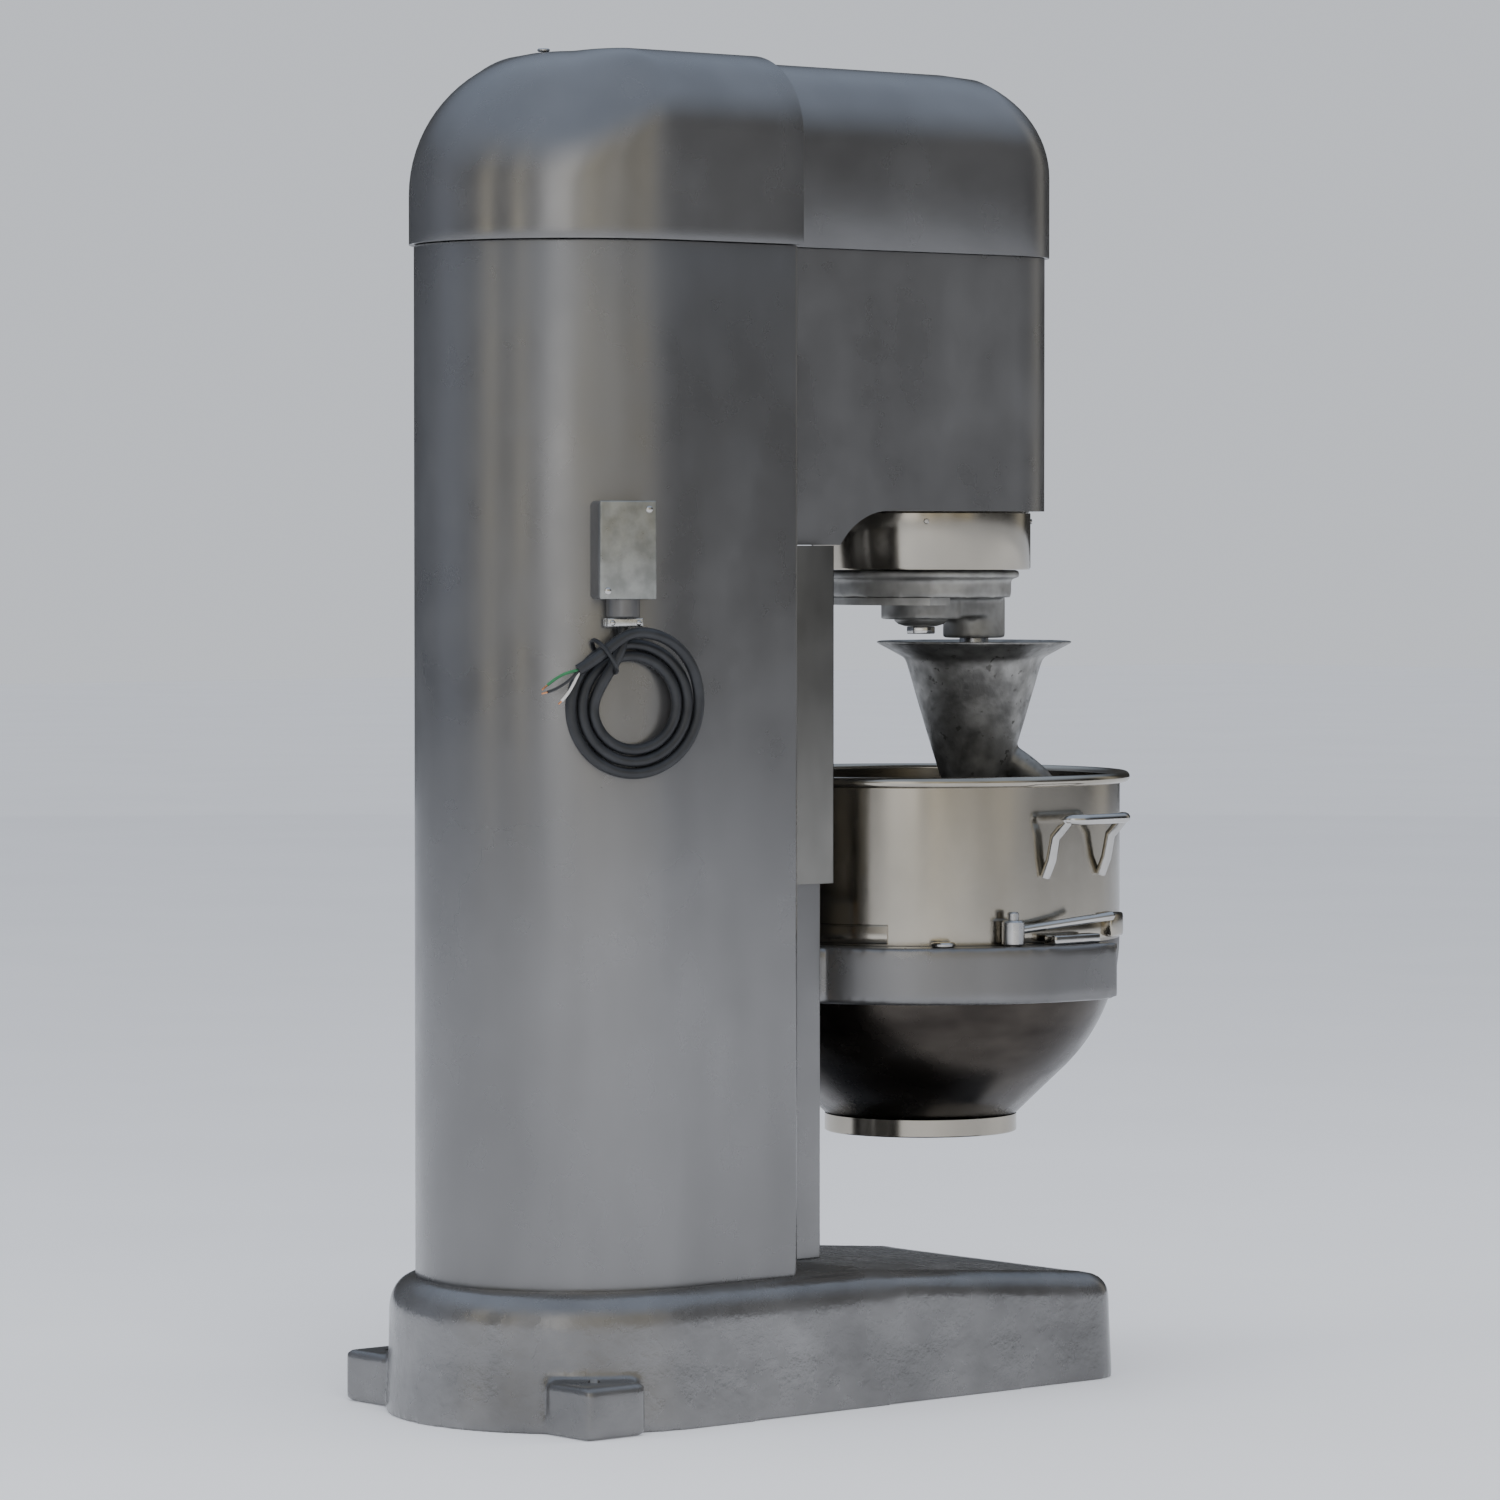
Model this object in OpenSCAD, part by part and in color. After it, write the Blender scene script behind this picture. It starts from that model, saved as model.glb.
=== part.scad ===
// Floor-standing planetary mixer with a lifting bowl.
// Origin: on the floor, under the axis of the bowl. +Z is up, -Y is the front.
// +X is the operator's controls side. All sizes are millimetres.

/* [Overall] */
// Height of the joint between the castings and their top covers
seam_z = 1678; // [1600:1:1800]
// Height of the covers above that joint
cover_h = 276; // [220:1:320]
// Distance from the bowl axis back to the centre of the column's round back
column_y = 664; // [640:1:760]
// Distance from the bowl axis back to the flat front of the column
column_front_y = 440; // [430:1:470]

/* [Column] */
// Radius of the round back, and half the width of the column
column_r = 234; // [215:1:280]
// Wall of the castings
cast_wall = 10; // [8:1:16]
// How far the top covers stand proud of the castings
cover_lip = 7; // [3:1:10]
// Radius of the top edges of the covers
cover_round = 120; // [80:1:130]
// Wall of the top covers
cover_wall = 6; // [4:1:9]

/* [Base] */
// Height of the base where the column stands on it
base_h = 196; // [160:1:230]
// How far the base stands out round the column
base_skirt = 42; // [30:1:60]
// Half the width of the front foot
foot_half_w = 262; // [240:1:290]
// Front face of the front foot
foot_front_y = -186; // [-220:1:-170]
// Height of the front foot
foot_h = 172; // [150:1:190]
// Radius of the floor bolt holes
floor_bolt_r = 9; // [7:0.5:11]
// Distance between the two front floor bolts
front_bolt_x = 390; // [340:1:410]
// Distance between the two rear floor bolts
rear_bolt_x = 472; // [450:1:500]

/* [Head] */
// Half the width of the head
head_half_w = 172; // [166:1:200]
// Front face of the head
head_front_y = -170; // [-200:1:-166]
// Radius of the head's front corners
head_corner_r = 135; // [110:1:150]
// Underside of the head
head_z = 1298; // [1285:1:1320]
// How far the head reaches down beside the column
gusset_drop = 50; // [30:1:60]

/* [Planetary drive] */
// Distance from the bowl axis to the agitator axis
offset_r = 108; // [96:1:114]
// Teeth of the fixed internal gear
ring_teeth = 64; // [60:4:68]
// Teeth of the agitator pinion
planet_teeth = 16; // [16:4:20]
// Radius of the stainless band
band_r = 165; // [160:1:170]
// Height of the stainless band
band_h = 87; // [70:1:95]
// Radius of the planetary disc
disc_r = 136; // [128:1:145]
// Radius of the main shaft
main_shaft_r = 25; // [20:1:30]
// Radius of the agitator shaft
agitator_shaft_r = 22; // [18:1:26]
// Radius of the agitator boss on the planetary
agitator_boss_r = 47; // [40:1:52]

/* [Gears and belts] */
// Module of the transmission gears
gear_m = 5; // [4:0.5:5]
// Face width of the transmission gears
gear_h = 30; // [20:1:34]
// Radius of the motor pulley
motor_pulley_r = 55; // [45:1:60]
// Radius of the input pulley
input_pulley_r = 110; // [90:1:125]
// Radius of the motor body
motor_r = 100; // [85:1:120]

/* [Bowl] */
// Outer radius of the bowl wall
bowl_r = 300; // [285:1:305]
// Wall of the bowl
bowl_wall = 4; // [3:0.5:6]
// Height of the rim's centre with the bowl down
rim_z = 900; // [880:1:930]
// Radius of the rolled rim
rim_r = 8; // [6:0.5:10]
// Radius of the round part of the bowl's bottom
bowl_curve_r = 275; // [250:1:280]
// Radius of the ring that the bowl stands on
foot_ring_r = 145; // [130:1:155]
// Underside of that ring with the bowl down
foot_ring_z = 365; // [340:1:380]

/* [Yoke] */
// Thickness of the yoke arms
yoke_t = 48; // [40:1:54]
// Underside of the yoke
yoke_z = 577; // [560:1:600]
// Height of the yoke
yoke_h = 84; // [70:1:95]
// Half the width of the carriage between the ways
carriage_half_w = 170; // [150:1:180]

/* [Agitator] */
// Radius of the dough hook's splash collar
collar_r = 149; // [130:1:155]
// Underside of the dough hook
hook_z = 660; // [655:1:690]

/* [Supply] */
// Width of the junction box
box_w = 82; // [70:1:95]
// Height of the junction box
box_h = 138; // [120:1:150]
// Depth of the junction box with its cover
box_d = 52; // [45:1:60]
// Diameter of the supply cord
cord_d = 16; // [14:1:18]

/* [Hidden] */
$fn = 96;

gap = 0.3;             // between solids of different moving bodies
run_fit = 0.05;        // radial clearance of a running fit
cover_top = seam_z + cover_h;
rail_x = carriage_half_w + 2;
rail_t = 21;
rail_y = column_front_y - 74;
way_cover_y = column_front_y - 95;
way_cover_t = 2;
way_cover_z = 757;
gusset_z = head_z - gusset_drop;
gusset_y = 331;
rail_top = gusset_z - 1;
rail_foot = base_h + 16;

// Planetary heights
band_z = head_z - band_h;
step_h = 13;
disc_h = 29;
disc_z = band_z - step_h - disc_h;
step_r = 148;
hub_r = 60;
hub_h = 33;
hub_z = disc_z - hub_h;
cap_r = 41;
cap_h = 11;
cap_tip_r = 22;
bolt_af = 38;
bolt_h = 11;
agitator_boss_z = 1107;
ring_m = offset_r * 2 / (ring_teeth - planet_teeth);
ring_pitch_r = ring_m * ring_teeth / 2;
ring_outer_r = ring_pitch_r + 2.4 * ring_m;
ring_z = band_z + 22;
ring_h = 34;
bearing_h = 20;

// Transmission: input shaft, countershaft, main shaft, all upright
input_teeth = 12;
counter_teeth = 32;
counter_pinion_teeth = 14;
main_teeth = 42;
counter_y = gear_m * (main_teeth + counter_pinion_teeth) / 2;
input_y = counter_y + gear_m * (counter_teeth + input_teeth) / 2;
low_gear_z = head_z + 75;
high_gear_z = low_gear_z + gear_h + 42;
plate_z = seam_z - 46;
plate_h = 22;
small_shaft_r = 16;
main_bearing_r = 46;
small_bearing_r = 32;
pulley_z = seam_z + 40;
belt_w = 14;
belt_pitch = 20;
motor_y = column_y;
motor_h = 300;
motor_z = seam_z - motor_h - 60;
motor_shaft_r = 19;

// Bowl outline
bowl_curve_x = bowl_r - bowl_curve_r;
bowl_curve_z = foot_ring_z + 294;
cone_angle = 45;
bowl_floor_z = foot_ring_z + 12;
// The straight cone runs from the end of the curve down to the flat floor at the same slope
bowl_floor_r = bowl_curve_x + bowl_curve_r * cos(cone_angle)
    - (bowl_curve_z - bowl_curve_r * sin(cone_angle) - bowl_floor_z) / tan(cone_angle);

// Yoke and clamps
yoke_in_r = bowl_r + 6;
yoke_out_r = yoke_in_r + yoke_t;
yoke_top = yoke_z + yoke_h;
arm_angle = 14;
screw_y = 402;
screw_r = 14;
nut_r = 30;
clamp_x = 311;
clamp_y = 96;
clamp_pin_r = 9;
clamp_z = yoke_top;
cam_r = 17;
cam_h = 38;
rod_r = 6.5;
rod_l = 168;

// Supply side, on the round back of the column
box_turn = 156;
box_z = 1172;
coil_turn = 160;
coil_z = 1022;
coil_in_r = 53;
coil_out_r = 107;
coil_t = 34;
clamp_bottom_z = 1133;
gland_x = column_r + 23;

// Cord: out of the clamp into the coil, then the free end to the stripped wires.
// x is outward from the column's axis, y is round the column, z is up.
lead_points = [[gland_x, 0, 1133], [gland_x, 0, 1126], [gland_x, 1, 1119], [gland_x, 3, 1112]];
tail_points = [for (p = [[28, -6, 1097], [38, -14, 1094], [45, -26, 1090], [47, -38, 1084], [47, -50,
    1077]])
    p + [column_r, 0, 0]];

// ---------- helpers ----------
module d_plan(r, front) {
    translate([0, column_y]) circle(r);
    translate([-r, front]) square([2 * r, column_y - front]);
}
module d_cut(r, front) {
    intersection() {
        d_plan(r, front);
        translate([-2 * r, front]) square([4 * r, 4 * r + column_y]);
    }
}
module plate2(x0, x1, y0, y1) { translate([x0, y0]) square([x1 - x0, y1 - y0]); }
module slab(x0, x1, y0, y1, z0, z1) { translate([x0, y0, z0]) cube([x1 - x0, y1 - y0, z1 - z0]); }
module rod(r, z0, z1) { translate([0, 0, z0]) cylinder(r = r, h = z1 - z0); }
module tube(r_out, r_in, z0, z1) { difference() { rod(r_out, z0, z1); rod(r_in, z0 - 1, z1 + 1); } }

// Upright outline of a wall with a rounded top outer edge, for one side
module edge_profile(r, h, round) {
    square([r, h - round]);
    square([r - round, h]);
    intersection() {
        translate([r - round, h - round]) circle(round);
        square([r, h]);
    }
}
// Section across a rounded-top cover
module cover_section(w, h, round) {
    plate2(-w, w, 0, h - round);
    plate2(-w + round, w - round, 0, h);
    for (s = [-1, 1]) intersection() {
        translate([s * (w - round), h - round]) circle(round);
        plate2(-w, w, 0, h);
    }
}
module along_y(y0, y1) { translate([0, y1, 0]) rotate([90, 0, 0]) linear_extrude(y1 - y0) children(); }
module d_dome(r, front, h, round) {
    translate([0, column_y, 0]) rotate_extrude(angle = 180) edge_profile(r, h, round);
    along_y(front, column_y + 0.01) cover_section(r, h, round);
}
module head_dome(w, front, back, corner, h, round) {
    for (s = [-1, 1]) translate([s * (w - corner), front + corner, 0])
        rotate_extrude() edge_profile(corner, h, round);
    along_y(front + corner, back) cover_section(w, h, round);
    intersection() {
        translate([-(w - corner), 0, 0]) rotate([90, 0, 90]) linear_extrude(2 * (w - corner))
            translate([front + 2 * corner, 0]) mirror([1, 0]) edge_profile(2 * corner, h, round);
        slab(-w, w, front, front + corner + 0.01, 0, h);
    }
}
module head_plan(w, front, back, corner) {
    for (s = [-1, 1]) translate([s * (w - corner), front + corner]) circle(corner);
    plate2(-w, w, front + corner, back);
    plate2(-(w - corner), w - corner, front, front + corner + 1);
}

// Involute gear outline. The first tooth points along +X.
pressure = 25;
function inv_deg(a) = tan(a) * 180 / PI - a;
function flank_angle(rb, r) = r <= rb ? 0 : inv_deg(acos(rb / r));
function gear_points(n, m, add, ded, slack) =
    let (rp = n * m / 2, rb = rp * cos(pressure), rt = rp + add * m, rr = rp - ded * m,
        half = 90 / n - slack / rp * 90 / PI + inv_deg(pressure),
        radii = [rr, max(rr + 0.01, rb), rp + 0.02, rt])
    [for (k = [0 : n - 1], side = [-1, 1], i = [0 : 3])
        let (r = radii[side < 0 ? i : 3 - i], a = k * 360 / n + side * (half - flank_angle(rb, r)))
        [r * cos(a), r * sin(a)]];
module gear_outline(n, m, add = 0.8, ded = 1.1, slack = 0.4) { polygon(gear_points(n, m, add, ded,
    slack)); }
module gear(n, m, h, bore, turn) {
    difference() {
        rotate([0, 0, turn]) linear_extrude(h) gear_outline(n, m);
        rod(bore, -1, h + 1);
    }
}
module on_back(turn) { translate([0, column_y, 0]) rotate([0, 0, turn]) children(); }

// Tube swept along points: a ring of sides square to the path at each point
function unit(v) = v / norm(v);
function path_dir(p, i) = unit(p[min(i + 1, len(p) - 1)] - p[max(i - 1, 0)]);
function sweep_ring(p, i, r, n, side) =
    let (d = path_dir(p, i), u = unit(cross(d, side)), v = cross(d, u))
    [for (k = [0 : n - 1]) p[i] + r * (cos(k * 360 / n) * u + sin(k * 360 / n) * v)];
module sweep(p, r, n, side) {
    rings = [for (i = [0 : len(p) - 1]) each sweep_ring(p, i, r, n, side)];
    last = (len(p) - 1) * n;
    sides = [for (i = [0 : len(p) - 2], k = [0 : n - 1])
        [i * n + k, (i + 1) * n + k, (i + 1) * n + (k + 1) % n, i * n + (k + 1) % n]];
    polyhedron(rings, concat(sides, [[for (k = [0 : n - 1]) k]], [[for (k = [n - 1 : -1 : 0]) last + k]]));
}

// ---------- frame ----------
pad_x = rear_bolt_x / 2;
pad_half = 49;
pad_y = column_y + 159;
pad_h = 74;
front_hole_y = foot_front_y + 41;
base_round = 34;
boss_r = 30;
rib_t = 24;
module base_outer() {
    skirt = column_r + base_skirt;
    translate([0, column_y, 0]) rotate_extrude(angle = 180) edge_profile(skirt, base_h, base_skirt - 2);
    along_y(column_front_y - 60, column_y + 0.01) cover_section(skirt, base_h, base_skirt - 2);
    intersection() {
        along_y(foot_front_y, column_front_y) cover_section(foot_half_w, foot_h, base_round);
        linear_extrude(foot_h) head_plan(foot_half_w, foot_front_y, column_front_y, 60);
    }
    for (s = [-1, 1]) slab(s * pad_x - pad_half, s * pad_x + pad_half, pad_y - pad_half,
        pad_y + pad_half, 0, pad_h);
}
module base_casting() {
    color("slategray") difference() {
        union() {
            difference() {
                base_outer();
                difference() {
                    union() {
                        translate([0, 0, -1]) linear_extrude(base_h - cast_wall * 2 + 1)
                            d_cut(column_r + base_skirt - cast_wall * 2, column_front_y - 60 + cast_wall * 2);
                        translate([0, 0, -1]) linear_extrude(foot_h - cast_wall * 2 + 1)
                            head_plan(foot_half_w - cast_wall * 1.6, foot_front_y + cast_wall * 1.6,
                                column_front_y, 40);
                    }
                    slab(-foot_half_w, foot_half_w, -rib_t / 2, rib_t / 2, -2, foot_h);
                    for (s = [-1, 1]) {
                        slab(s * pad_x - pad_half, s * pad_x + pad_half, pad_y - pad_half,
                            pad_y + pad_half, -2, pad_h);
                        translate([s * front_bolt_x / 2, front_hole_y, 0]) rod(boss_r, -2, foot_h);
                    }
                }
            }
        }
        for (s = [-1, 1]) {
            translate([s * pad_x, pad_y, 0]) rod(floor_bolt_r, -1, pad_h + 1);
            translate([s * front_bolt_x / 2, front_hole_y, 0]) rod(floor_bolt_r, -1, foot_h + 1);
        }
        translate([0, column_y, 0]) rod(80, base_h - 60, base_h + 1);
    }
}
module column() {
    window_w = head_half_w - 40;
    color("slategray") {
        difference() {
            translate([0, 0, base_h]) linear_extrude(seam_z - base_h) difference() {
                d_cut(column_r, column_front_y);
                d_cut(column_r - cast_wall, column_front_y + cast_wall);
            }
            slab(-window_w, window_w, column_front_y - 1, column_front_y + cast_wall + 1, seam_z - 150,
                seam_z + 1);
            on_back(box_turn) translate([0, 0, box_z + box_h / 2]) rotate([0, 90, 0]) rod(14,
                column_r - 40, column_r + 5);
        }
        for (s = [-1, 1]) slab(s * (rail_x + rail_t / 2) - rail_t / 2, s * (rail_x + rail_t / 2)
            + rail_t / 2,
            rail_y, column_front_y + 1, rail_foot, rail_top);
    }
}
module column_cover() {
    color("silver") translate([0, 0, seam_z]) difference() {
        d_dome(column_r + cover_lip, column_front_y, cover_h, cover_round);
        translate([0, 0, -1]) d_dome(column_r + cover_lip - cover_wall, column_front_y + cover_wall,
            cover_h - cover_wall + 1, cover_round - cover_wall);
        slab(-head_half_w + 30, head_half_w - 30, column_front_y - 1, column_front_y + cover_wall + 1,
            -1, cover_h - 90);
    }
}
module head_casting() {
    color("slategray") difference() {
        union() {
            translate([0, 0, head_z]) linear_extrude(seam_z - head_z)
                head_plan(head_half_w, head_front_y, column_front_y, head_corner_r);
            difference() {
                slab(-head_half_w, head_half_w, 215, column_front_y, gusset_z, head_z + 1);
                translate([-200, gusset_y - 116, gusset_z - 66]) rotate([0, 90, 0]) rod(116, 0, 400);
            }
        }
        translate([0, 0, head_z + 30]) linear_extrude(seam_z - head_z)
            head_plan(head_half_w - cast_wall, head_front_y + cast_wall, column_front_y + 1,
                head_corner_r - cast_wall);
        rod(main_bearing_r, head_z - 1, head_z + 31);
        translate([0, counter_y, 0]) rod(small_bearing_r, head_z + 10, head_z + 31);
        translate([0, input_y, 0]) rod(small_bearing_r, head_z + 10, head_z + 31);
        translate([0, screw_y, 0]) rod(screw_r + 26, gusset_z - 1, gusset_z + 26);
    }
}
module head_cover() {
    w = head_half_w + cover_lip;
    color("silver") translate([0, 0, seam_z]) difference() {
        head_dome(w, head_front_y - cover_lip, column_front_y, head_corner_r + cover_lip, cover_h - 4,
            cover_round);
        translate([0, 0, -1]) head_dome(w - cover_wall, head_front_y - cover_lip + cover_wall,
            column_front_y + 1,
            head_corner_r + cover_lip - cover_wall, cover_h - 3 - cover_wall, cover_round - cover_wall);
    }
}
module cover_screws() {
    color("dimgray") for (p = [[0, column_y + 60], [0, column_front_y + 40]]) translate(p)
        rod(9, cover_top, cover_top + 4);
}
module way_covers() {
    color("gainsboro") for (s = [-1, 1]) mirror([s < 0 ? 1 : 0, 0, 0]) {
        slab(rail_x + rail_t, rail_x + rail_t + way_cover_t, way_cover_y, column_front_y, way_cover_z,
            rail_top);
        slab(rail_x, rail_x + rail_t + way_cover_t, way_cover_y - way_cover_t, way_cover_y, way_cover_z,
            rail_top);
    }
}
module way_screws() {
    color("gray") for (s = [-1, 1], z = [way_cover_z + 20, way_cover_z + 290, rail_top - 20])
        translate([s * (rail_x + rail_t + way_cover_t), column_front_y - 20, z]) rotate([0, s * 90, 0])
            rod(5, 0, 3);
}
module drip_band() {
    color("gainsboro") tube(band_r, ring_outer_r, band_z, head_z);
}
module band_screws() {
    color("gray") for (a = [141 : 90 : 411]) rotate([0, 0, a]) translate([band_r, 0, head_z - 15])
        rotate([0, 90, 0]) rod(4, 0, 3);
}
module ring_gear() {
    color("darkgray") difference() {
        rod(ring_outer_r, ring_z, ring_z + ring_h);
        translate([0, 0, ring_z - 1]) rotate([0, 0, 270]) linear_extrude(ring_h + 2)
            gear_outline(ring_teeth, ring_m, add = 1.1, ded = 0.8, slack = -0.4);
    }
}
module bearing_plate() {
    color("darkgray") difference() {
        translate([0, 0, plate_z]) linear_extrude(plate_h)
            head_plan(head_half_w - cast_wall, head_front_y + cast_wall, column_front_y - 60,
                head_corner_r - cast_wall);
        rod(main_bearing_r, plate_z - 1, plate_z + plate_h + 1);
        translate([0, counter_y, 0]) rod(small_bearing_r, plate_z - 1, plate_z + plate_h + 1);
        translate([0, input_y, 0]) rod(small_bearing_r, plate_z - 1, plate_z + plate_h + 1);
    }
}
module fixed_bearings() {
    color("silver") {
        for (z = [head_z, plate_z + 1]) tube(main_bearing_r, main_shaft_r + run_fit, z, z + bearing_h);
        for (y = [counter_y, input_y], z = [head_z + 10, plate_z + 1])
            translate([0, y, 0]) tube(small_bearing_r, small_shaft_r + run_fit, z, z + bearing_h);
    }
}

// ---------- planetary ----------
module main_shaft() {
    color("lightgray") {
        rod(main_shaft_r, hub_z, plate_z + plate_h + 6);
        rod(main_shaft_r + 9, low_gear_z - 10, low_gear_z);
    }
}
module main_gear() {
    color("goldenrod") translate([0, 0, low_gear_z]) gear(main_teeth, gear_m, gear_h, main_shaft_r, 90);
}
module planetary_housing() {
    color("dimgray") difference() {
        union() {
            rod(disc_r, disc_z, disc_z + disc_h);
            rod(step_r, disc_z + disc_h, band_z - gap * 3);
            rod(hub_r, hub_z, disc_z);
            rod(hub_r, band_z - 1, head_z - 12);
            translate([0, -offset_r, 0]) rod(agitator_boss_r, agitator_boss_z, disc_z + 1);
            translate([0, -offset_r, 0]) rod(agitator_boss_r - 10, disc_z, ring_z - 6);
            slab(-agitator_boss_r, agitator_boss_r, -offset_r, 0, hub_z + 4, disc_z + 1);
        }
        rod(main_shaft_r, hub_z - 1, head_z);
        translate([0, -offset_r, 0]) rod(32, agitator_boss_z - 1, ring_z);
    }
}
module counterweight() {
    color("#3a3a3a") translate([0, 0, disc_z - 11]) linear_extrude(11) intersection() {
        difference() { circle(disc_r); circle(hub_r + 6); }
        plate2(-110, 110, 40, disc_r + 1);
    }
}
module planetary_cap() {
    color("dimgray") translate([0, 0, hub_z - cap_h]) cylinder(r1 = cap_tip_r, r2 = cap_r, h = cap_h);
}
module planetary_bolt() {
    color("gray") translate([0, 0, hub_z - cap_h - bolt_h]) rotate([0, 0, 15])
        cylinder(r = bolt_af / sqrt(3), h = bolt_h, $fn = 6);
}
module agitator_bearings() {
    color("silver") translate([0, -offset_r, 0]) for (z = [agitator_boss_z + 12, ring_z - 6 - bearing_h])
        tube(32, agitator_shaft_r + run_fit, z, z + bearing_h);
}
module agitator_shaft() {
    color("lightgray") translate([0, -offset_r, 0]) difference() {
        rod(agitator_shaft_r, hook_top - 60, ring_z + ring_h);
        translate([0, 0, hook_top - 40]) rotate([90, 0, 0]) rod(pin_r + run_fit, -70, 70);
    }
}
module planet_pinion() {
    color("goldenrod") translate([0, -offset_r, ring_z]) gear(planet_teeth, ring_m, ring_h,
        agitator_shaft_r, 270);
}
hook_top = agitator_boss_z - 3;
pin_r = 6.5;
cone_top_r = 105;
cone_bottom_r = 50;
cone_bottom_z = 894;
arm_r = 24;
module dough_hook() {
    // splash collar and cone
    color("dimgray") translate([0, -offset_r, 0]) difference() {
        union() {
            rotate_extrude() polygon([[0, cone_bottom_z - 16], [cone_bottom_r - 10, cone_bottom_z - 14],
                [cone_bottom_r, cone_bottom_z], [cone_top_r, hook_top - 30], [collar_r, hook_top - 4],
                [collar_r, hook_top], [agitator_shaft_r + 26, hook_top - 16], [0, hook_top - 16]]);
            hook_arm();
        }
        rod(agitator_shaft_r, hook_top - 62, hook_top + 1);
        translate([0, 0, hook_top - 40]) rotate([90, 0, 0]) rod(pin_r + run_fit, -70, 70);
    }
}
arm_start_z = 945;
arm_bend_z = 850;
arm_end_z = hook_z + arm_r;
arm_full_z = 820;
arm_root = 18;
arm_out = 116;
arm_in = 30;
arm_leave = 0.2;
// Out of the cone in one direction first, then a spiral that narrows downwards
function arm_reach(z) = z > arm_full_z ? arm_out
    : arm_in + (arm_out - arm_in) * (1 - pow((arm_full_z - z) / (arm_full_z - arm_end_z), 1.6));
function arm_point(t) =
    let (out = min(1, t / arm_leave), rest = max(0, (t - arm_leave) / (1 - arm_leave)),
        z = arm_start_z - (arm_start_z - arm_bend_z) * out - (arm_bend_z - arm_end_z) * rest,
        a = 222 + 22 * out + 330 * rest, r = arm_root + (arm_reach(z) - arm_root) * sin(90 * out))
    [r * cos(a), r * sin(a), z];
module hook_arm() {
    steps = 40;
    sweep([for (i = [0 : steps]) arm_point(i / steps)], arm_r, 12, [0, 0, 1]);
}
module hook_pin() {
    color("gray") translate([0, -offset_r, hook_top - 40]) rotate([90, 0, 0]) rod(pin_r, -64, 64);
}

// ---------- drive ----------
module input_shaft() {
    color("lightgray") translate([0, input_y, 0]) {
        rod(small_shaft_r, head_z + 10, pulley_z + 2 * belt_pitch + 12);
        translate([0, 0, high_gear_z]) gear(input_teeth, gear_m, gear_h, 1, 270 + 180 / input_teeth);
    }
}
module pulley(r, bore) {
    difference() {
        for (i = [0, 1]) translate([0, 0, i * belt_pitch]) {
            cylinder(r = r, h = 3);
            translate([0, 0, 3]) cylinder(r = r - 9, h = belt_w);
            translate([0, 0, 3 + belt_w]) cylinder(r = r, h = 3);
        }
        rod(bore, -1, 2 * belt_pitch + 1);
    }
}
module input_pulley() { color("#555555") translate([0, input_y, pulley_z]) pulley(input_pulley_r,
    small_shaft_r); }
module motor_pulley() { color("#555555") translate([0, motor_y, pulley_z]) pulley(motor_pulley_r,
    motor_shaft_r); }
belt_gap = 0.4;
module belt_loop(r1, r2, d) {
    // outline round two circles of radius r1 at the start and r2 at distance d
    lean = asin((r2 - r1) / d);
    circle(r1);
    translate([0, -d]) circle(r2);
    polygon([[r1 * cos(lean), r1 * sin(lean)], [-r1 * cos(lean), r1 * sin(lean)],
        [-r2 * cos(lean), -d + r2 * sin(lean)], [r2 * cos(lean), -d + r2 * sin(lean)]]);
}
module drive_belts() {
    color("#222222") for (i = [0, 1]) translate([0, motor_y, pulley_z + 3 + belt_gap + i * belt_pitch])
        linear_extrude(belt_w - 2 * belt_gap) difference() {
            belt_loop(motor_pulley_r + 2, input_pulley_r + 2, motor_y - input_y);
            belt_loop(motor_pulley_r - 9 + belt_gap, input_pulley_r - 9 + belt_gap, motor_y - input_y);
        }
}
module counter_shaft() {
    color("lightgray") translate([0, counter_y, 0]) {
        rod(small_shaft_r, head_z + 10, plate_z + plate_h);
        translate([0, 0, low_gear_z]) gear(counter_pinion_teeth, gear_m, gear_h, 1,
            270 + 180 / counter_pinion_teeth);
    }
}
module counter_gear() {
    color("goldenrod") translate([0, counter_y, high_gear_z]) gear(counter_teeth, gear_m, gear_h,
        small_shaft_r, 90);
}
module motor_body() {
    color("#4c5a68") translate([0, motor_y, 0]) difference() {
        union() {
            rod(motor_r, motor_z, motor_z + motor_h);
            rod(motor_r * 0.6, motor_z + motor_h, motor_z + motor_h + 14);
            for (a = [0 : 30 : 330]) rotate([0, 0, a]) slab(motor_r - 2, motor_r + 8, -3, 3,
                motor_z + 40, motor_z + motor_h - 40);
        }
        rod(motor_shaft_r + run_fit, motor_z + 40, motor_z + motor_h + 20);
    }
}
module motor_mount() {
    w = column_r - cast_wall - 0.1;
    color("dimgray") difference() {
        translate([0, 0, motor_z + motor_h]) linear_extrude(14) intersection() {
            d_cut(w, column_front_y + cast_wall);
            plate2(-w, w, motor_y - 150, motor_y + 130);
        }
        translate([0, motor_y, 0]) rod(motor_r * 0.6, motor_z, motor_z + motor_h + 20);
    }
}
module motor_shaft() {
    color("lightgray") translate([0, motor_y, 0]) rod(motor_shaft_r, motor_z + 41,
        pulley_z + 2 * belt_pitch + 6);
}

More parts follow.
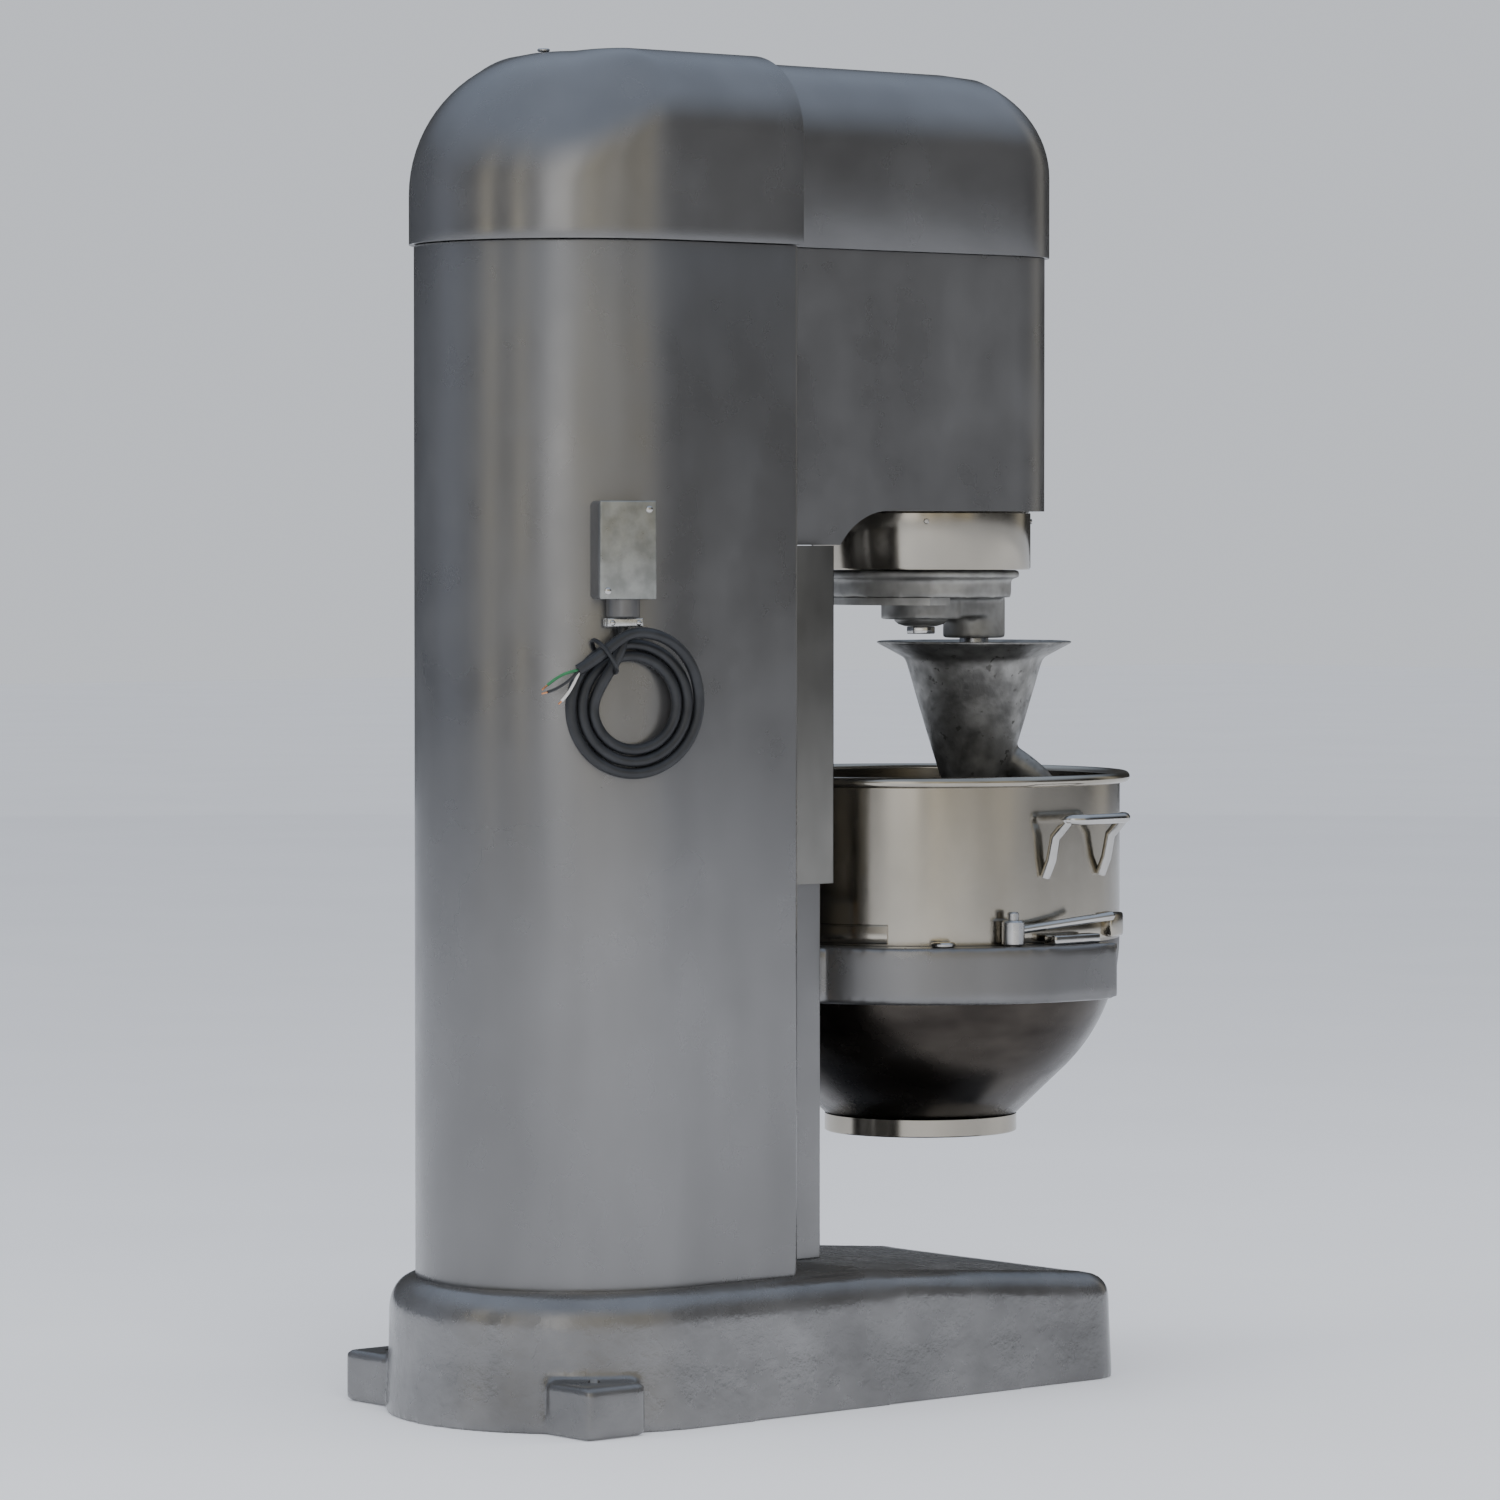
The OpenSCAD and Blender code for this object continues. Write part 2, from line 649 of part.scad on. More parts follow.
// ---------- bowl lift ----------
module lift_screw() {
    color("lightgray") translate([0, screw_y, 0]) {
        rod(screw_r, base_h + 4, gusset_z + 22);
        tube(screw_r + 8, screw_r - 1, base_h + 66, base_h + 78);
    }
}
module screw_blocks() {
    color("dimgray") {
        difference() {
            slab(-60, 60, screw_y - 30, column_front_y, base_h, base_h + 60);
            translate([0, screw_y, 0]) rod(screw_r + run_fit, base_h + 3, base_h + 61);
        }
        translate([0, screw_y, 0]) tube(screw_r + 23, screw_r + run_fit, gusset_z + 1, gusset_z + 24);
    }
}
module lift_motor() {
    color("#4c5a68") translate([0, column_y - 80, 0]) {
        rod(62, base_h, base_h + 170);
        slab(-30, 30, -140 + cast_wall, -40, base_h, base_h + 50);
    }
}
module yoke_plan() {
    difference() {
        circle(yoke_out_r);
        circle(yoke_in_r);
        polygon([[0, 0], [800 * cos(arm_angle), -800 * sin(arm_angle)], [800, -800], [-800, -800],
            [-800 * cos(arm_angle), -800 * sin(arm_angle)]]);
    }
}
module yoke() {
    cw = carriage_half_w - 3;
    color("slategray") difference() {
        union() {
            translate([0, 0, yoke_z]) linear_extrude(yoke_h) difference() {
                union() {
                    yoke_plan();
                    plate2(-cw + 20, cw - 20, 200, column_front_y - 20);
                }
                circle(yoke_in_r);
            }
            slab(-cw, cw, screw_y - 34, column_front_y - gap * 2, yoke_z - 60, yoke_top + 60);
        }
        translate([0, screw_y, 0]) rod(nut_r, yoke_z - 61, yoke_top + 61);
        for (s = [-1, 1]) translate([s * clamp_x, clamp_y, 0]) rod(clamp_pin_r + run_fit, yoke_z + 20,
            yoke_top + 1);
    }
}
module lift_nut() {
    color("goldenrod") translate([0, screw_y, 0]) tube(nut_r, screw_r + run_fit, yoke_z - 20, yoke_z + 70);
}
module way_gibs() {
    color("goldenrod") for (s = [-1, 1]) mirror([s < 0 ? 1 : 0, 0, 0])
        slab(carriage_half_w - 3, carriage_half_w + 2 - gap, screw_y - 30, column_front_y - 6,
            yoke_z - 56, yoke_top + 56);
}
curve_steps = 14;
function bowl_arc(cx, cz, r, a0, a1) = [for (i = [0 : curve_steps]) let (a = a0 + (a1 - a0)
    * i / curve_steps)
    [cx + r * cos(a), cz + r * sin(a)]];
function bowl_side(t) = concat(
    [[0, bowl_floor_z + t], [bowl_floor_r, bowl_floor_z + t]],
    bowl_arc(bowl_curve_x, bowl_curve_z, bowl_curve_r - t, -cone_angle, 0));
module bowl() {
    outer = bowl_side(0);
    inner = bowl_side(bowl_wall);
    color("gainsboro") {
        rotate_extrude() {
            polygon(concat(outer, [[bowl_r, rim_z], [bowl_r - bowl_wall, rim_z]],
                [for (i = [len(inner) - 1 : -1 : 0]) inner[i]]));
            translate([bowl_r + rim_r - 1, rim_z]) circle(rim_r, $fn = 32);
        }
    }
}
module bowl_foot_ring() {
    color("gainsboro") rotate_extrude() difference() {
        plate2(foot_ring_r - 5, foot_ring_r, foot_ring_z, foot_ring_z + 40);
        polygon(concat(bowl_side(0), [[0, rim_z]]));
    }
}
bowl_band_z = 663;
bowl_band_h = 29;
bowl_band_t = 5.5;
band_gap = 9;
lug_turn = 207;
module bowl_band() {
    color("gainsboro") difference() {
        translate([0, 0, bowl_band_z]) linear_extrude(bowl_band_h) difference() {
            circle(bowl_r + bowl_band_t);
            circle(bowl_r);
            for (a = [57, 127, 233, 307]) rotate([0, 0, a]) plate2(bowl_r - 90, bowl_r + 90, -band_gap,
                band_gap);
        }
        for (a = [lug_turn, 540 - lug_turn]) rotate([0, 0, a])
            slab(bowl_r - 90, bowl_r + 90, -26.01, 26.01, bowl_band_z - 1, bowl_band_z + bowl_band_h + 1);
    }
    color("gainsboro") for (a = [lug_turn, 540 - lug_turn]) rotate([0, 0, a]) difference() {
        slab(bowl_r - 6, bowl_r + 17, -26, 26, bowl_band_z + 1, bowl_band_z + 38);
        rod(bowl_r, bowl_band_z - 1, bowl_band_z + 60);
    }
}
handle_turn = 187.5;
handle_reach = 57;
handle_half = 64;
handle_r = 7;
handle_z = rim_z - 55;
handle_wall_x = sqrt(bowl_r * bowl_r - handle_half * handle_half);
module bowl_handle() {
    difference() {
        for (s = [-1, 1]) translate([0, s * handle_half, handle_z]) rotate([0, 90, 0])
            rod(handle_r - 0.5, handle_wall_x - 4, bowl_r + handle_reach);
        rod(bowl_r + 2.5, handle_z - 120, handle_z + 60);
    }
    translate([0, 0, handle_z - 88]) linear_extrude(100) intersection() {
        difference() {
            circle(bowl_r + 5);
            circle(bowl_r);
        }
        for (s = [-1, 1]) plate2(200, 400, s * handle_half - 11, s * handle_half + 11);
    }
    translate([bowl_r + handle_reach, 0, handle_z]) rotate([90, 0, 0])
        rod(handle_r, -handle_half - handle_r, handle_half + handle_r);
}
module bowl_handles() {
    color("silver") for (a = [handle_turn, 540 - handle_turn]) rotate([0, 0, a]) bowl_handle();
}
module yoke_pads() {
    color("silver") for (s = [-1, 1]) {
        rotate([0, 0, 90 + s * 92]) slab(yoke_in_r + 5, yoke_in_r + 30, -48, 48, yoke_top, yoke_top + 14);
        rotate([0, 0, 90 + s * 54]) translate([yoke_in_r + 22, 0, 0]) rod(18, yoke_top, yoke_top + 7);
    }
}
clamp_turn = 84;
module clamp_cam(s) {
    translate([s * clamp_x, clamp_y, 0]) {
        rod(clamp_pin_r, clamp_z - 40, clamp_z + gap);
        difference() {
            rod(cam_r, clamp_z + gap, clamp_z + gap + cam_h);
            translate([0, 0, clamp_z + gap + 22]) rotate([0, clamp_turn, s < 0 ? 258 : 282]) rod(rod_r,
                0, 40);
        }
    }
}
module clamp_rod(s) {
    translate([s * clamp_x, clamp_y, clamp_z + gap + 22]) rotate([0, clamp_turn, s < 0 ? 258 : 282]) {
        rod(rod_r, 2, rod_l);
        translate([0, 0, rod_l]) sphere(rod_r);
    }
}
module clamp_cam_left() { color("silver") clamp_cam(-1); }
module clamp_cam_right() { color("silver") clamp_cam(1); }
module clamp_rod_left() { color("silver") clamp_rod(-1); }
module clamp_rod_right() { color("silver") clamp_rod(1); }

// ---------- supply ----------
box_back = column_r - 4;
cover_t = 5;
module box_slab(x0, x1, w, z0, z1, r) {
    translate([x0, 0, 0]) rotate([90, 0, 90]) linear_extrude(x1 - x0) {
        plate2(-w + r, w - r, z0, z1);
        plate2(-w, w, z0 + r, z1 - r);
        for (s = [-1, 1], z = [z0 + r, z1 - r]) translate([s * (w - r), z]) circle(r);
    }
}
module junction_box() {
    color("slategray") on_back(box_turn) difference() {
        union() {
            box_slab(box_back - 6, column_r + box_d - cover_t, box_w / 2, box_z, box_z + box_h, 8);
            translate([gland_x, 0, 0]) rod(24, box_z - 26, box_z + 4);
        }
        box_slab(column_r + 4, column_r + box_d, box_w / 2 - 4, box_z + 4, box_z + box_h - 4, 5);
        translate([gland_x, 0, 0]) rod(cord_d / 2 + 2, box_z - 30, box_z + 10);
        rod(column_r, box_z - 50, box_z + box_h + 10);
    }
}
module junction_cover() {
    color("silver") on_back(box_turn)
        box_slab(column_r + box_d - cover_t, column_r + box_d, box_w / 2, box_z, box_z + box_h, 8);
}
module junction_screws() {
    color("gray") on_back(box_turn) {
        for (p = [[30, box_h - 12], [-30, 12]]) translate([column_r + box_d, p[0], box_z + p[1]])
            rotate([0, 90, 0]) rod(5, 0, 3);
        for (y = [-19, 19]) translate([gland_x + 14, y, box_z - 33]) rotate([0, 90, 0]) rod(4, 0, 4);
    }
}
module cable_clamp() {
    color("silver") on_back(box_turn) difference() {
        slab(gland_x - 14, gland_x + 14, -26, 26, clamp_bottom_z, box_z - 26);
        translate([gland_x, 0, 0]) rod(cord_d / 2, clamp_bottom_z - 1, box_z - 20);
    }
}
module coil_ring() {
    on_back(coil_turn) translate([column_r + 1, 0, coil_z]) rotate([0, 90, 0])
        rotate_extrude() plate2(coil_in_r, coil_out_r, 0, coil_t);
}
module cord_lead() {
    color("#1a1a1a") difference() {
        on_back(box_turn) sweep(lead_points, cord_d / 2, 12, [1, 0, 0.01]);
        coil_ring();
    }
}
module cord_coil() { color("#1a1a1a") coil_ring(); }
module cord_tail() {
    color("#1a1a1a") difference() {
        on_back(coil_turn) sweep(tail_points, cord_d / 2, 12, [1, 0, 0.01]);
        coil_ring();
    }
}

// ---------- controls ----------
panel_x = column_r + 50;
panel_y = 560;
panel_z = 1180;
module control_box() {
    color("slategray") difference() {
        slab(column_r, panel_x, panel_y - 55, panel_y + 55, panel_z, panel_z + 210);
        for (z = [60, 120]) translate([column_r + 10, panel_y, panel_z + z]) rotate([0, 90, 0])
            rod(15.05, 0, 60);
        translate([column_r + 10, panel_y, panel_z + 172]) rotate([0, 90, 0]) rod(10.05, 0, 60);
    }
}
module button(z) { translate([panel_x - 24, panel_y, panel_z + z]) rotate([0, 90, 0]) rod(15, 0, 34); }
module start_button() { color("seagreen") button(120); }
module stop_button() { color("firebrick") button(60); }
module lift_switch() {
    color("#222222") translate([panel_x - 24, panel_y, panel_z + 172]) {
        rotate([0, 90, 0]) rod(10, 0, 32);
        slab(25, 46, -6, 6, -20, 20);
    }
}
lever_y = 300;
lever_z = 1560;
lever_out = 36;
module shift_lever() {
    color("gray") translate([head_half_w, lever_y, lever_z]) {
        rotate([0, 90, 0]) rod(12, gap, lever_out + 6);
        translate([lever_out, 0, 0]) rod(9, 0, 150);
        translate([lever_out, 0, 168]) sphere(22);
    }
}

base_casting();
column();
column_cover();
head_casting();
head_cover();
cover_screws();
drip_band();
band_screws();
ring_gear();
bearing_plate();
fixed_bearings();
main_shaft();
main_gear();
planetary_housing();
counterweight();
planetary_cap();
planetary_bolt();
agitator_shaft();
planet_pinion();
agitator_bearings();
dough_hook();
hook_pin();
input_shaft();
input_pulley();
counter_shaft();
counter_gear();
motor_body();
motor_mount();
motor_shaft();
motor_pulley();
drive_belts();
way_covers();
way_screws();
lift_screw();
screw_blocks();
lift_motor();
yoke();
lift_nut();
way_gibs();
bowl();
bowl_foot_ring();
bowl_band();
bowl_handles();
yoke_pads();
clamp_cam_left();
clamp_rod_left();
clamp_cam_right();
clamp_rod_right();
junction_box();
junction_cover();
junction_screws();
cable_clamp();
cord_lead();
cord_coil();
cord_tail();
control_box();
start_button();
stop_button();
lift_switch();
shift_lever();
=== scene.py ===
"""Floor-standing planetary mixer: the looks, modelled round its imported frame."""
import math

import bmesh
import bpy
from mathutils import Matrix, Vector


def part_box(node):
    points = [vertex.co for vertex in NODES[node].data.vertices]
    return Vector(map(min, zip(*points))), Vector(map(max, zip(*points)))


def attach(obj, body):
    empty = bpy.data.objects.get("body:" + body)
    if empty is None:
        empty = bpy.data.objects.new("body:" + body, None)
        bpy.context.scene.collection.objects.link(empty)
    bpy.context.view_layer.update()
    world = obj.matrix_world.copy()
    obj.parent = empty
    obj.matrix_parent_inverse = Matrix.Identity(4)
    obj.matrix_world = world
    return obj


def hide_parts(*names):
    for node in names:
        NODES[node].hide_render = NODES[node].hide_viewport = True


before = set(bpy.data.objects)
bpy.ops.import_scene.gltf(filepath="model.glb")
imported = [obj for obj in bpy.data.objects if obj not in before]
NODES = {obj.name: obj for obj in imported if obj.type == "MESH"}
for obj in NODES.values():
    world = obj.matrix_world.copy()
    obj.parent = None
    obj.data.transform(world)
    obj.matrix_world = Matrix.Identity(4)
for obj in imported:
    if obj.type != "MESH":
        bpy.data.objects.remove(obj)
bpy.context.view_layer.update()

bl_info = {
    "name": "Planetary mixer",
    "version": (1, 0, 0),
    "blender": (4, 5, 0),
    "location": "View3D > Sidebar > Mixer",
    "description": "Builds a floor-standing planetary mixer with a lifting bowl round its frame",
    "category": "Add Mesh",
}

TAU = 2 * math.pi
FLOOR_BODY = "frame"


def low(node):
    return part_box(node)[0]


def high(node):
    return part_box(node)[1]


# Places taken from the frame, in metres
SEAM_Z = low("column_cover").z
COVER_TOP = high("column_cover").z
COLUMN_R = high("column_cover").x - 0.007
COLUMN_Y = high("column_cover").y - high("column_cover").x
COLUMN_FRONT = low("column_cover").y
BASE_TOP = high("base_casting").z
HEAD_Z = high("drip_band").z
HEAD_W = high("head_casting").x
HEAD_FRONT = low("head_casting").y
HEAD_CORNER = 0.135
GUSSET_Z = low("head_casting").z
BAND_R = high("drip_band").x
BAND_Z = low("drip_band").z
BOWL_R = 0.300
RIM_Z = high("bowl").z - 0.008
BOWL_FOOT_Z = low("bowl_foot_ring").z
YOKE_TOP = low("yoke_pads").z
AGITATOR_Y = (low("planet_pinion").y + high("planet_pinion").y) / 2


# ---------- sizes and colours a user would change ----------
class MixerSizes(bpy.types.PropertyGroup):
    rim_radius: bpy.props.FloatProperty(
        name="Rim radius", description="Radius of the bowl's rolled rim",
        default=0.008, min=0.004, max=0.012, unit="LENGTH")
    bowl_wall: bpy.props.FloatProperty(
        name="Bowl wall", description="Thickness of the bowl's wall",
        default=0.004, min=0.002, max=0.006, unit="LENGTH")
    cast_round: bpy.props.FloatProperty(
        name="Cast edge radius", description="Radius of the small edges of the painted castings",
        default=0.006, min=0.002, max=0.012, unit="LENGTH")
    cord_diameter: bpy.props.FloatProperty(
        name="Cord diameter", description="Diameter of the supply cord",
        default=0.016, min=0.012, max=0.02, unit="LENGTH")
    coil_turns: bpy.props.FloatProperty(
        name="Coil turns", description="Turns of cord in the hanging coil",
        default=2.75, min=2.0, max=3.0)


class MixerColours(bpy.types.PropertyGroup):
    paint: bpy.props.FloatVectorProperty(
        name="Paint", description="Metallic grey paint of the castings",
        default=(0.200, 0.198, 0.197), size=3, min=0, max=1, subtype="COLOR")
    stainless: bpy.props.FloatVectorProperty(
        name="Stainless", description="Brushed stainless steel of the bowl",
        default=(0.47, 0.435, 0.37), size=3, min=0, max=1, subtype="COLOR")
    casting: bpy.props.FloatVectorProperty(
        name="Bare casting", description="Bare cast metal of the hook and planetary",
        default=(0.29, 0.285, 0.27), size=3, min=0, max=1, subtype="COLOR")
    rubber: bpy.props.FloatVectorProperty(
        name="Cord sheath", description="Black sheath of the supply cord",
        default=(0.014, 0.015, 0.017), size=3, min=0, max=1, subtype="COLOR")
    backdrop: bpy.props.FloatVectorProperty(
        name="Backdrop", description="Pale floor and wall behind the mixer",
        default=(0.78, 0.79, 0.82), size=3, min=0, max=1, subtype="COLOR")


def sizes():
    return bpy.context.scene.mixer_sizes


def colours():
    return bpy.context.scene.mixer_colours


# ---------- modelling tools ----------
def clear():
    if bpy.context.mode != "OBJECT":
        bpy.ops.object.mode_set(mode="OBJECT")
    bpy.ops.object.select_all(action="DESELECT")


def edit(piece):
    clear()
    bpy.context.view_layer.objects.active = piece
    piece.select_set(True)
    bpy.ops.object.mode_set(mode="EDIT")
    bpy.ops.mesh.select_mode(type="VERT")
    bpy.ops.mesh.select_all(action="DESELECT")


def pick(rule, kind="verts"):
    """Selects the verts, edges or faces of the mesh in edit mode that rule says yes to."""
    piece = bpy.context.edit_object
    mode = {"verts": "VERT", "edges": "EDGE", "faces": "FACE"}[kind]
    bpy.ops.mesh.select_mode(type=mode)
    bpy.ops.mesh.select_all(action="DESELECT")
    mesh = bmesh.from_edit_mesh(piece.data)
    place = piece.matrix_world
    chosen = 0
    for item in getattr(mesh, kind):
        at = [place @ v.co for v in ([item] if kind == "verts" else item.verts)]
        if rule(item, at):
            item.select_set(True)
            chosen += 1
    mesh.select_flush_mode()
    bmesh.update_edit_mesh(piece.data)
    return chosen


def start_wire(name, point):
    """A new mesh with a single selected vertex at point, in edit mode."""
    clear()
    bpy.ops.mesh.primitive_plane_add(size=0.01, location=point)
    piece = bpy.context.object
    piece.name = piece.data.name = name
    bpy.ops.object.mode_set(mode="EDIT")
    bpy.ops.mesh.select_mode(type="VERT")
    bpy.ops.mesh.select_all(action="SELECT")
    bpy.ops.mesh.merge(type="CENTER")
    return piece


def wire(name, points, closed=False):
    """Draws an outline point by point with extrude, and joins its ends if closed."""
    points = [Vector(p) for p in points]
    piece = start_wire(name, points[0])
    for a, b in zip(points, points[1:]):
        bpy.ops.mesh.extrude_vertices_move(TRANSFORM_OT_translate={"value": b - a})
    if closed:
        ends = {0, len(points) - 1}
        pick(lambda v, at: v.index in ends)
        bpy.ops.mesh.edge_face_add()
    return piece


def seal(piece):
    """Merges doubles and turns the faces outwards, and leaves edit mode."""
    bpy.ops.mesh.select_all(action="SELECT")
    bpy.ops.mesh.remove_doubles(threshold=0.00002)
    bpy.ops.mesh.normals_make_consistent(inside=False)
    bpy.ops.object.mode_set(mode="OBJECT")
    bpy.ops.object.transform_apply(location=True, rotation=True, scale=True)
    return piece


def lathe(name, profile, at=(0, 0), steps=96, closed=False, angle=TAU, start=0.0):
    """Spins a profile of (radius, height) points about the upright axis at at."""
    points = [(at[0] + r * math.cos(start), at[1] + r * math.sin(start), z) for r, z in profile]
    piece = wire(name, points, closed)
    bpy.ops.mesh.select_all(action="SELECT")
    bpy.ops.mesh.spin(steps=steps, angle=angle, center=(at[0], at[1], 0), axis=(0, 0, 1))
    if closed and angle < TAU:
        pick(lambda e, at: len(e.link_faces) == 1, "edges")
        bpy.ops.mesh.fill_holes(sides=0)
    return seal(piece)


def prism(name, outline, z0, z1):
    """An upright solid over an outline of (x, y) points. It stays in edit mode."""
    piece = wire(name, [(x, y, z0) for x, y in outline], closed=True)
    bpy.ops.mesh.select_all(action="SELECT")
    bpy.ops.mesh.edge_face_add()
    bpy.ops.mesh.extrude_region_move(TRANSFORM_OT_translate={"value": (0, 0, z1 - z0)})
    bpy.ops.mesh.select_all(action="SELECT")
    bpy.ops.mesh.normals_make_consistent(inside=False)
    return piece


def block(name, lo, hi, edge=0.002, segments=3):
    """A box from corner lo to corner hi with rounded edges."""
    clear()
    lo, hi = Vector(lo), Vector(hi)
    bpy.ops.mesh.primitive_cube_add(size=1, location=(lo + hi) / 2)
    piece = bpy.context.object
    piece.name = piece.data.name = name
    piece.scale = hi - lo
    bpy.ops.object.transform_apply(location=False, rotation=False, scale=True)
    bpy.ops.object.mode_set(mode="EDIT")
    bpy.ops.mesh.select_all(action="SELECT")
    bpy.ops.mesh.bevel(offset=edge, segments=segments, profile=0.5, affect="EDGES")
    return seal(piece)


def rod(name, r, z0, z1, at=(0, 0), edge=0.001, steps=48):
    """An upright rod with rounded ends."""
    return lathe(name, [(0, z0), (r - edge, z0), (r, z0 + edge), (r, z1 - edge), (r - edge, z1), (0, z1)],
                 at, steps)


def tube(name, points, radius, sides=16, closed=False):
    """A round bar bent along points, as a mesh."""
    clear()
    curve = bpy.data.curves.new(name, "CURVE")
    curve.dimensions = "3D"
    curve.bevel_depth = radius
    curve.bevel_resolution = max(1, sides // 4 - 1)
    curve.use_fill_caps = not closed
    spline = curve.splines.new("POLY")
    spline.points.add(len(points) - 1)
    for knot, p in zip(spline.points, points):
        knot.co = (*p, 1)
    spline.use_cyclic_u = closed
    piece = bpy.data.objects.new(name, curve)
    bpy.context.scene.collection.objects.link(piece)
    bpy.context.view_layer.objects.active = piece
    piece.select_set(True)
    bpy.ops.object.convert(target="MESH")
    edit(piece)
    return seal(piece)


def turn(piece, angle, axis="Z", about=(0, 0, 0)):
    """Turns a finished piece about a point, and puts the turn in its mesh."""
    piece.data.transform(Matrix.Translation(about) @ Matrix.Rotation(angle, 4, axis)
                         @ Matrix.Translation(-Vector(about)))
    return piece


def shift(piece, by):
    piece.data.transform(Matrix.Translation(by))
    return piece


def copied(piece, name):
    """A copy of a piece with a mesh of its own."""
    clear()
    other = piece.copy()
    other.data = piece.data.copy()
    other.name = other.data.name = name
    bpy.context.scene.collection.objects.link(other)
    return other


def joined(name, parts):
    """Joins finished parts into one piece."""
    clear()
    for part in parts:
        part.select_set(True)
    bpy.context.view_layer.objects.active = parts[0]
    bpy.ops.object.join()
    piece = bpy.context.object
    piece.name = piece.data.name = name
    return piece


def modify(piece, kind, **settings):
    """Adds a modifier, sets it and applies it."""
    clear()
    bpy.context.view_layer.objects.active = piece
    piece.select_set(True)
    bpy.ops.object.modifier_add(type=kind)
    modifier = piece.modifiers[-1]
    for key, value in settings.items():
        setattr(modifier, key, value)
    bpy.ops.object.modifier_apply(modifier=modifier.name)
    return piece


def from_frame(node, name):
    """A merged copy of a frame node's mesh, to be worked on."""
    clear()
    piece = bpy.data.objects.new(name, NODES[node].data.copy())
    piece.data.name = name
    piece.data.materials.clear()
    bpy.context.scene.collection.objects.link(piece)
    edit(piece)
    bpy.ops.mesh.select_all(action="SELECT")
    bpy.ops.mesh.remove_doubles(threshold=0.00002)
    bpy.ops.object.mode_set(mode="OBJECT")
    return piece


def cast_copy(node, name, voxel, passes, factor=0.5):
    """A frame node as a casting: its sharp joints become blends and fillets."""
    piece = from_frame(node, name)
    modify(piece, "REMESH", mode="VOXEL", voxel_size=voxel)
    modify(piece, "SMOOTH", factor=factor, iterations=passes)
    return piece


def done(piece, material, body, *nodes, angle=40):
    """Smooths, paints and mounts a finished piece on its body."""
    clear()
    bpy.context.view_layer.objects.active = piece
    piece.select_set(True)
    bpy.ops.object.shade_smooth_by_angle(angle=math.radians(angle))
    piece.data.materials.clear()
    piece.data.materials.append(material)
    if nodes:
        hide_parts(*nodes)
    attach(piece, body)
    clear()
    return piece


def paint_node(material, *nodes):
    for node in nodes:
        mesh = NODES[node].data
        mesh.materials.clear()
        mesh.materials.append(material)


def arc(cx, cy, r, a0, a1, n):
    """n + 1 points of an arc, angles in degrees."""
    steps = [math.radians(a0 + (a1 - a0) * i / n) for i in range(n + 1)]
    return [(cx + r * math.cos(a), cy + r * math.sin(a)) for a in steps]


def on_back(turned, u, v, z):
    """A point by its distance out from the column's axis, along the round back, and height."""
    a = math.radians(turned)
    return Vector((u * math.cos(a) - v * math.sin(a), COLUMN_Y + u * math.sin(a) + v * math.cos(a), z))


def facing(piece, turned, at=(0, 0)):
    """Turns a piece modelled facing +X at the origin to face out from the round back."""
    return shift(turn(piece, math.radians(turned)), (at[0], COLUMN_Y + at[1], 0))


def loft(name, rings, cap_low=True, cap_high=True):
    """Skins rings of points, each with the same number, and closes the ends."""
    clear()
    n = len(rings[0])
    verts = [p for ring in rings for p in ring]
    faces = [(k * n + i, k * n + (i + 1) % n, (k + 1) * n + (i + 1) % n, (k + 1) * n + i)
             for k in range(len(rings) - 1) for i in range(n)]
    if cap_low:
        faces.append(tuple(range(n)))
    if cap_high:
        faces.append(tuple((len(rings) - 1) * n + i for i in range(n)))
    mesh = bpy.data.meshes.new(name)
    mesh.from_pydata(verts, [], faces)
    piece = bpy.data.objects.new(name, mesh)
    bpy.context.scene.collection.objects.link(piece)
    edit(piece)
    return seal(piece)


def d_outline(r, front, n=48, flat=12):
    """Points and outward directions round the column's D plan: sides, round back, flat front."""
    points = []
    for i in range(n + 1):
        a = math.pi * i / n
        points.append((r * math.cos(a), COLUMN_Y + r * math.sin(a), math.cos(a), math.sin(a)))
    side = [COLUMN_Y + (front - COLUMN_Y) * i / 6 for i in range(1, 7)]
    points += [(-r, y, -1, 0) for y in side]
    points += [(-r + 2 * r * i / flat, front, 0, 0) for i in range(1, flat)]
    points += [(r, y, 1, 0) for y in reversed(side)]
    return points


def head_outline(w, front, back, corner, n=14):
    """Points round the head's plan: rounded front corners, straight back."""
    points = [(w, back), (w, front + corner)][:1]
    points += [(w, back + (front + corner - back) * i / 8) for i in range(1, 8)]
    points += arc(w - corner, front + corner, corner, 0, -90, n)
    points += [(w - corner - 2 * (w - corner) * i / 6, front) for i in range(1, 6)]
    points += arc(-(w - corner), front + corner, corner, -90, -180, n)
    points += [(-w, front + corner + (back - front - corner) * i / 8) for i in range(1, 9)]
    return points


# ---------- materials ----------
def group(name, inputs, outputs, build):
    """A node group shared by several materials."""
    if name in bpy.data.node_groups:
        return bpy.data.node_groups[name]
    tree = bpy.data.node_groups.new(name, "ShaderNodeTree")
    for label, kind, value in inputs:
        socket = tree.interface.new_socket(name=label, in_out="INPUT", socket_type=kind)
        if value is not None:
            socket.default_value = value
    for label, kind in outputs:
        tree.interface.new_socket(name=label, in_out="OUTPUT", socket_type=kind)
    build(tree, tree.nodes.new("NodeGroupInput"), tree.nodes.new("NodeGroupOutput"))
    return tree


